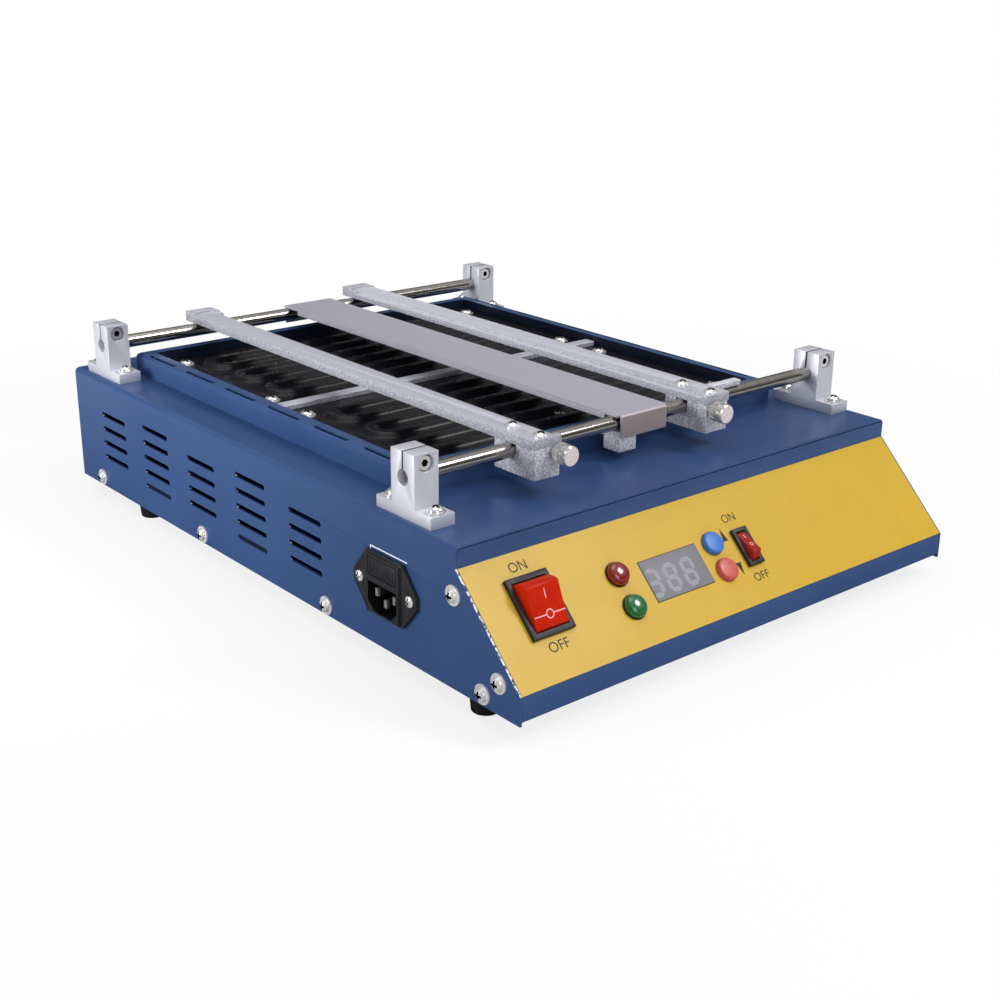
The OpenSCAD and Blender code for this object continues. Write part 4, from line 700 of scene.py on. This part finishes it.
def displayWindow():
    dressed("display_module", greyWindow, digits["frameEdge"])
    x, up = slopePlace("display_module")
    half, bar = digits["height"] / 2, digits["bar"]
    low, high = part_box("display_module")
    out = ((low + high) / 2 - slopeOrigin).dot(slopeOut) + digits["module"] * mm / 2  # on its face
    bm = bmesh.new()

    def segment(length):  # a bar with pointed ends
        end, side = length / 2 - digits["gap"], bar / 2
        return prism([(-end, 0), (-end + side, side), (end - side, side), (end, 0), (end - side, -side),
                      (-end + side, -side)], digits["thick"])

    spots = {"level": [], "upright": []}
    for index in range(digits["count"]):
        shift = (index - (digits["count"] - 1) / 2) * digits["pitch"] + digits["across"]
        for row in (-1, 0, 1):
            spots["level"].append((shift + row * half * digits["lean"], row * (half - bar / 2), 0))
        for row in (-0.5, 0.5):
            middle = shift + row * half * digits["lean"]
            for side in (-1, 1) if index else (1,):  # the first digit runs under the frame on its left
                across = middle + side * (digits["width"] - bar) / 2
                spots["upright"].append((across, row * (half - bar / 2), 90))
    for kind, length in (("level", digits["width"] - bar), ("upright", half - bar / 2)):
        turns = [onSlope(x + dx * mm, up + (dy - digits["down"]) * mm, out)
                 @ Matrix.Rotation(math.radians(turn), 4, "Z") for dx, dy, turn in spots[kind]]
        addCopies(bm, segment(length), turns)
    finishPiece("display_digits", bm, [paleDigit], "case", (), "grey_plastic")


displayWindow()

buttons = {"radius": 6.0, "rise": 3.3, "dome": 0.3, "crown": (0.55, 0.7), "edge": 1.1, "step": 15,
           "flange": 6.8, "back": -2.5, "flangeTop": -1.5, "stem": 1.8, "tip": -8.5, "segments": 48}


def buttonCap(node, body, material):
    radius, rise, edge, dome = buttons["radius"], buttons["rise"], buttons["edge"], buttons["dome"]
    stem, tip, back = buttons["stem"], buttons["tip"], buttons["back"]
    flange, flangeTop = buttons["flange"], buttons["flangeTop"]
    angles = [math.radians(degrees) for degrees in range(90, -1, -buttons["step"])]
    corner = [(radius - edge + edge * math.sin(a), rise - edge + edge * math.cos(a)) for a in angles]
    crown = [(radius * buttons["crown"][0], rise + dome * buttons["crown"][1]), (0, rise + dome)]
    bm = turned([(0, tip), (stem, tip), (stem, back), (flange, back), (flange, flangeTop),
                 (radius, flangeTop)] + corner + crown, buttons["segments"])
    moveAll(bm, onSlope(*slopePlace(node)))
    finishPiece(node + "_cap", bm, [material], body, [node], slotOf[node])


buttonCap("up_button", "up_button", blueCap)
buttonCap("down_button", "down_button", coralCap)
print("controls done")


# inlet, feet and the pieces inside

inlet = {"edge": 0.45, "drawerEdge": 0.3, "lit": 3.0, "pinLit": 1.4}  # lit: how far in the light reaches


def shadeSocket(bm):  # the inlet is dark inside
    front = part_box("inlet_body")[0].x
    for face in bm.faces:
        if face.calc_center_median().x - front > inlet["lit"] * mm:
            face.material_index = 1
    return [shadedAbs]


def shadePins(bm):  # only the pins' tips catch the light
    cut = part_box("inlet_pins")[0].x + inlet["pinLit"] * mm
    whole = bm.verts[:] + bm.edges[:] + bm.faces[:]
    bmesh.ops.bisect_plane(bm, geom=whole, plane_co=(cut, 0, 0), plane_no=(1, 0, 0))
    for face in bm.faces:
        if face.calc_center_median().x > cut:
            face.material_index = 1
    return [shadedAlloy]


dressed("inlet_body", blackAbs, inlet["edge"], tune=shadeSocket)
dressed("inlet_pins", nickelSteel, 0, tune=shadePins)
dressed("fuse_drawer", blackAbs, inlet["drawerEdge"])
dressed("fuse", fuseGlass, 0)
inside = {"heater_tray": zincSteel, "insulation_blanket": wool, "thermocouple_probe": zincSteel,
          "switch_terminals": brassMetal, "push_switches": blackAbs, "control_board": boardGreen,
          "board_pillars": brassMetal, "relay": blackAbs, "transformer_core": coreSteel,
          "transformer_bobbin": coilTape, "terminal_strip": creamPlastic, "earth_stud": brassMetal}
for node, material in inside.items():
    dressed(node, material, 0)
feet = {"edge": 0.8, "rounds": 3}
dressed("rubber_feet", blackRubber, feet["edge"], feet["rounds"])
print("inlet and inside done")


# printed marks on the fascia and the rockers

marks = {"thick": 0.05}
fasciaOut = lamps["fascia"] * mm + marks["thick"] / 2 * mm


def printedWord(name, text, x, up, size):
    curve = bpy.data.curves.new(name, "FONT")
    curve.body = text
    curve.size = size * mm
    curve.align_x = "CENTER"
    curve.align_y = "CENTER"
    curve.extrude = marks["thick"] / 2 * mm
    letters = bpy.data.objects.new(name + "_curve", curve)
    scene.collection.objects.link(letters)
    bpy.context.view_layer.update()
    mesh = bpy.data.meshes.new_from_object(letters.evaluated_get(bpy.context.evaluated_depsgraph_get()))
    bpy.data.objects.remove(letters)
    mesh.transform(onSlope(x, up, fasciaOut))
    bm = bmesh.new()
    bm.from_mesh(mesh)
    bpy.data.meshes.remove(mesh)
    finishPiece(name, bm, [blackInk], "case", (), "gold_print")


# places from the middle of each rocker
words = {"power": {"on": (-0.3, 20.2), "off": (0.1, -20.6), "size": 7.0},
         "heat": {"on": (-0.8, 17.3), "off": (-0.1, -16.5), "size": 6.3}}
for kind, word in words.items():
    x, up = rockerPlace(kind)
    for state in ("on", "off"):
        across, above = word[state]
        printedWord(kind + "_word_" + state, state.upper(), x + across * mm, up + above * mm, word["size"])

arrows = {"across": 9.9, "width": 3.5, "height": 7.3, "up": -1.0, "down": 1.5}


def arrowMark(name, node, base, turn):
    x, up = slopePlace(node)
    half, tall = arrows["width"] / 2, arrows["height"]
    bm = prism([(-half, 0), (half, 0), (0, tall)], marks["thick"])
    spot = onSlope(x + arrows["across"] * mm, up + base * mm, lamps["fascia"] * mm)
    moveAll(bm, spot @ Matrix.Rotation(turn, 4, "Z"))
    finishPiece(name, bm, [blackInk], "case", (), "gold_print")


arrowMark("up_arrow", "up_button", arrows["up"], 0)
arrowMark("down_arrow", "down_button", arrows["down"], math.pi)

# I and O on the rockers: each half of a rocker is one flat face
faces = {"tilt": 20, "lean": 3, "segments": 40,
         "power": {"high": 7.0, "i": 5.4, "o": -4.2, "tall": 4.6, "ring": 2.0, "line": 0.55, "width": 18.4},
         "heat": {"high": 4.5, "i": 3.4, "o": -2.0, "tall": 2.4, "ring": 0.9, "line": 0.45, "width": 0}}


def rockerMarks(kind, tilt):
    look = faces[kind]
    lean = math.radians(faces["lean"])
    base = onSlope(*rockerPlace(kind)) @ Matrix.Rotation(tilt * math.radians(faces["tilt"]), 4, "X")

    def onFace(along):
        half = math.copysign(lean, along)
        spot = Matrix.Translation((0, along * mm, (look["high"] + abs(along) * math.tan(lean)) * mm))
        return base @ spot @ Matrix.Rotation(half, 4, "X")

    thick, line, ring = marks["thick"] * mm, look["line"] * mm, look["ring"] * mm
    bm = bmesh.new()
    stroke = bmesh.new()
    addBox(stroke, (-line / 2, -look["tall"] / 2 * mm, -thick), (line / 2, look["tall"] / 2 * mm, thick))
    addCopies(bm, stroke, [onFace(look["i"])])
    inner, outer = look["ring"] - look["line"] / 2, look["ring"] + look["line"] / 2
    under, over = -marks["thick"], marks["thick"]
    circle = turned([(inner, under), (outer, under), (outer, over), (inner, over), (inner, under)],
                    faces["segments"])
    addCopies(bm, circle, [onFace(look["o"])])
    if look["width"]:
        for side in (-1, 1):
            dash = bmesh.new()
            ends = sorted((side * (ring + line / 2), side * look["width"] / 2 * mm))
            addBox(dash, (ends[0], -line / 2, -thick), (ends[1], line / 2, thick))
            addCopies(bm, dash, [onFace(look["o"])])
    finishPiece(kind + "_rocker_marks", bm, [pinkInk], kind + "_rocker", (), slotOf[kind + "_rocker"])


rockerMarks("power", 1)
rockerMarks("heat", -1)

# white line over the inlet, turned down at its rear end
inletLine = {"length": 28.8, "shift": -1.6, "above": 1.2, "line": 0.7, "hook": 2.2}


def lineOverInlet():
    low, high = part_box("inlet_body")
    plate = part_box("top_cover")[0].x
    middle, above = (low.y + high.y) / 2 + inletLine["shift"] * mm, high.z + inletLine["above"] * mm
    half, line, thick = inletLine["length"] / 2 * mm, inletLine["line"] * mm, marks["thick"] * mm
    bm = bmesh.new()
    rear, top = middle + half, above + line
    addBox(bm, (plate - thick, middle - half, above), (plate, rear, top))
    addBox(bm, (plate - thick, rear, above - inletLine["hook"] * mm + line), (plate, rear + line, top))
    finishPiece("inlet_line", bm, [whiteInk], "case", (), slotOf["top_cover"])


lineOverInlet()

# fuse drawer: a raised fuse sign in a frame
drawer = {"frame": (17.5, 6.4), "sign": (8.0, 2.6), "line": 0.45, "rise": 0.25, "bow": 2.2, "hook": 1.2,
          "edge": 0.1}


def drawerSign():
    low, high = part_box("fuse_drawer")
    middle = (low + high) / 2
    leftward = Matrix(((0, 0, -1, 0), (-1, 0, 0, 0), (0, 1, 0, 0), (0, 0, 0, 1)))  # out of the left side
    spot = Matrix.Translation((low.x, middle.y, middle.z)) @ leftward
    bm = bmesh.new()
    rise, edge, bow = drawer["rise"], drawer["edge"], drawer["bow"]
    half = drawer["line"] / 2

    def bar(x0, y0, x1, y1):
        piece = bmesh.new()
        addBox(piece, (x0 * mm, y0 * mm, -edge * mm), (x1 * mm, y1 * mm, rise * mm))
        breakEdges(piece, edge, segments=1)
        addCopies(bm, piece, [spot])

    for wide, tall in (drawer["frame"], drawer["sign"]):
        for side in (-1, 1):
            level, upright = side * tall / 2, side * wide / 2
            bar(-wide / 2, level - half, wide / 2, level + half)
            bar(upright - half, -tall / 2 - half, upright + half, tall / 2 + half)
    for side in (-1, 1):
        back = side * (drawer["sign"][0] / 2 + bow)
        bar(back - half, -bow, back + half, bow)
        near, far = sorted((back, back - side * drawer["hook"]))
        for end in (bow, -bow):
            bar(near, end - half, far, end + half)
    finishPiece("fuse_drawer_sign", bm, [blackAbs], bodyOf["fuse_drawer"], (), slotOf["fuse_drawer"])


drawerSign()
print("marks done")


# stage: pale floor, soft light, camera

stage = {"size": 12.0, "colour": "#f4f4f4", "near": 0.32, "far": 0.62, "shadow": 0.2,
         "mirrored": {"near": 0.03, "far": 0.6, "reach": 0.28}}


def paleFloor():
    bm = bmesh.new()
    bmesh.ops.create_grid(bm, x_segments=1, y_segments=1, size=stage["size"] / 2)
    mesh = bpy.data.meshes.new("floor")
    bm.to_mesh(mesh)
    bm.free()
    floor = bpy.data.objects.new("floor", mesh)
    scene.collection.objects.link(floor)
    # matte board under the object, which fades into a white backdrop away from it
    material = bpy.data.materials.new("pale_floor")
    material.use_nodes = True
    tree = material.node_tree
    tree.nodes.clear()
    spot = addNode(tree, "TexCoord").outputs["Object"]
    away = addNode(tree, "VectorMath", {"operation": "LENGTH"}, {0: spot})
    fade = addNode(tree, "MapRange", {"From Min": stage["near"], "From Max": stage["far"],
                   "To Min": 1 - stage["shadow"], "To Max": 1.0, "interpolation_type": "SMOOTHSTEP"},
                   {"Value": away.outputs["Value"]})
    ray = addNode(tree, "LightPath")
    seen = addNode(tree, "Math", {"operation": "MAXIMUM"},
                   {0: ray.outputs["Is Camera Ray"], 1: ray.outputs["Is Transmission Ray"]})
    bright = addNode(tree, "Math", {"operation": "MULTIPLY"}, {0: seen.outputs[0], 1: fade.outputs[0]})
    share = addNode(tree, "Math", {"operation": "MAXIMUM"},
                    {0: bright.outputs[0], 1: ray.outputs["Is Glossy Ray"]})
    # mirrored board: painted shadow, dark where the object stands over it, paler further out
    reach, half = stage["mirrored"], (cadBox[1] - cadBox[0]) / 2
    across = addNode(tree, "VectorMath", {"operation": "ABSOLUTE"}, {0: spot})
    past = addNode(tree, "VectorMath", {"operation": "SUBTRACT", 1: half}, {0: across.outputs[0]})
    apart = addNode(tree, "SeparateXYZ", None, {0: past.outputs[0]})
    clear = addNode(tree, "Math", {"operation": "MAXIMUM"}, {0: apart.outputs[0], 1: apart.outputs[1]})
    mirrored = addNode(tree, "MapRange", {"From Max": reach["reach"], "To Min": reach["near"],
                       "To Max": reach["far"]}, {"Value": clear.outputs[0]})
    level = addNode(tree, "Mix", {2: 1.0}, {0: ray.outputs["Is Glossy Ray"], 3: mirrored.outputs[0]})
    matte = addNode(tree, "BsdfDiffuse", {"Color": linear(stage["colour"])})
    glow = addNode(tree, "Emission", {"Color": (1, 1, 1, 1)}, {"Strength": level.outputs[0]})
    mix = addNode(tree, "MixShader", None, {0: share.outputs[0], 1: matte.outputs[0], 2: glow.outputs[0]})
    addNode(tree, "OutputMaterial", None, {"Surface": mix.outputs[0]})
    mesh.materials.append(material)


paleFloor()

sky = {"fill": 0.42, "white": 1.0, "low": 0.05, "high": 0.7, "from": 0.3, "to": 0.95, "right": 0.1,
       "rightFrom": 0.3, "rightTo": 0.9}


def studioSky():
    world = bpy.data.worlds.new("studio")
    scene.world = world
    world.use_nodes = True
    tree = world.node_tree
    tree.nodes.clear()
    ray = addNode(tree, "LightPath")
    seen = addNode(tree, "Math", {"operation": "MAXIMUM"},
                   {0: ray.outputs["Is Camera Ray"], 1: ray.outputs["Is Transmission Ray"]})
    # mirrored sky: dark near the horizon, bright overhead, a little lighter on the right
    way = addNode(tree, "SeparateXYZ", None, {0: addNode(tree, "TexCoord").outputs["Generated"]})
    climb = addNode(tree, "MapRange", {"From Min": sky["from"], "From Max": sky["to"], "To Min": sky["low"],
                    "To Max": sky["high"]}, {"Value": way.outputs[2]})
    right = addNode(tree, "MapRange", {"From Min": sky["rightFrom"], "From Max": sky["rightTo"],
                    "To Max": sky["right"]}, {"Value": way.outputs[0]})
    mirrored = addNode(tree, "Math", {"operation": "ADD"}, {0: climb.outputs[0], 1: right.outputs[0]})
    soft = addNode(tree, "Mix", {2: sky["fill"]}, {0: ray.outputs["Is Glossy Ray"], 3: mirrored.outputs[0]})
    level = addNode(tree, "Mix", {3: sky["white"]}, {0: seen.outputs[0], 2: soft.outputs[0]})
    light = addNode(tree, "Background", {"Color": (1, 1, 1, 1)}, {"Strength": level.outputs[0]})
    addNode(tree, "OutputWorld", None, {"Surface": light.outputs[0]})


studioSky()

# soft boxes in metres, watts and degrees
lightBoxes = {
    "overhead_box": {"spot": (-0.1, 0.1, 1.5), "aim": (0, 0, 0.1), "size": 1.1, "power": 5.2, "spread": 180},
    "left_box": {"spot": (-0.95, 0.25, 0.3), "aim": (-0.16, 0.12, 0.17), "size": 0.35, "power": 0.97,
                 "spread": 60},
    "front_right_box": {"spot": (0.88, -1.04, 1.45), "aim": (0, -0.1, 0.05), "size": 0.55, "power": 16.5,
                        "spread": 180},
    "front_box": {"spot": (-0.5, -1.35, 0.6), "aim": (0, -0.15, 0.05), "size": 0.8, "power": 4.5,
                  "spread": 180},
}
for name, box in lightBoxes.items():
    lamp = bpy.data.lights.new(name, "AREA")
    lamp.shape = "SQUARE"
    lamp.size = box["size"]
    lamp.energy = box["power"]
    lamp.spread = math.radians(box["spread"])
    holder = bpy.data.objects.new(name, lamp)
    scene.collection.objects.link(holder)
    holder.location = box["spot"]
    holder.rotation_euler = (Vector(box["aim"]) - Vector(box["spot"])).to_track_quat("-Z", "Y").to_euler()

shot = {"spot": (-0.532242, -0.644117, 0.328698), "turn": (1.21462714, -0.00952953, -0.69903331),
        "lens": 53.537, "sensor": 36, "near": 0.01}
camera = bpy.data.cameras.new("camera")
camera.lens = shot["lens"]
camera.sensor_width = shot["sensor"]
camera.clip_start = shot["near"]
viewer = bpy.data.objects.new("camera", camera)
scene.collection.objects.link(viewer)
viewer.location = shot["spot"]
viewer.rotation_euler = shot["turn"]
scene.camera = viewer
scene.view_settings.view_transform = "Standard"
print("stage done")
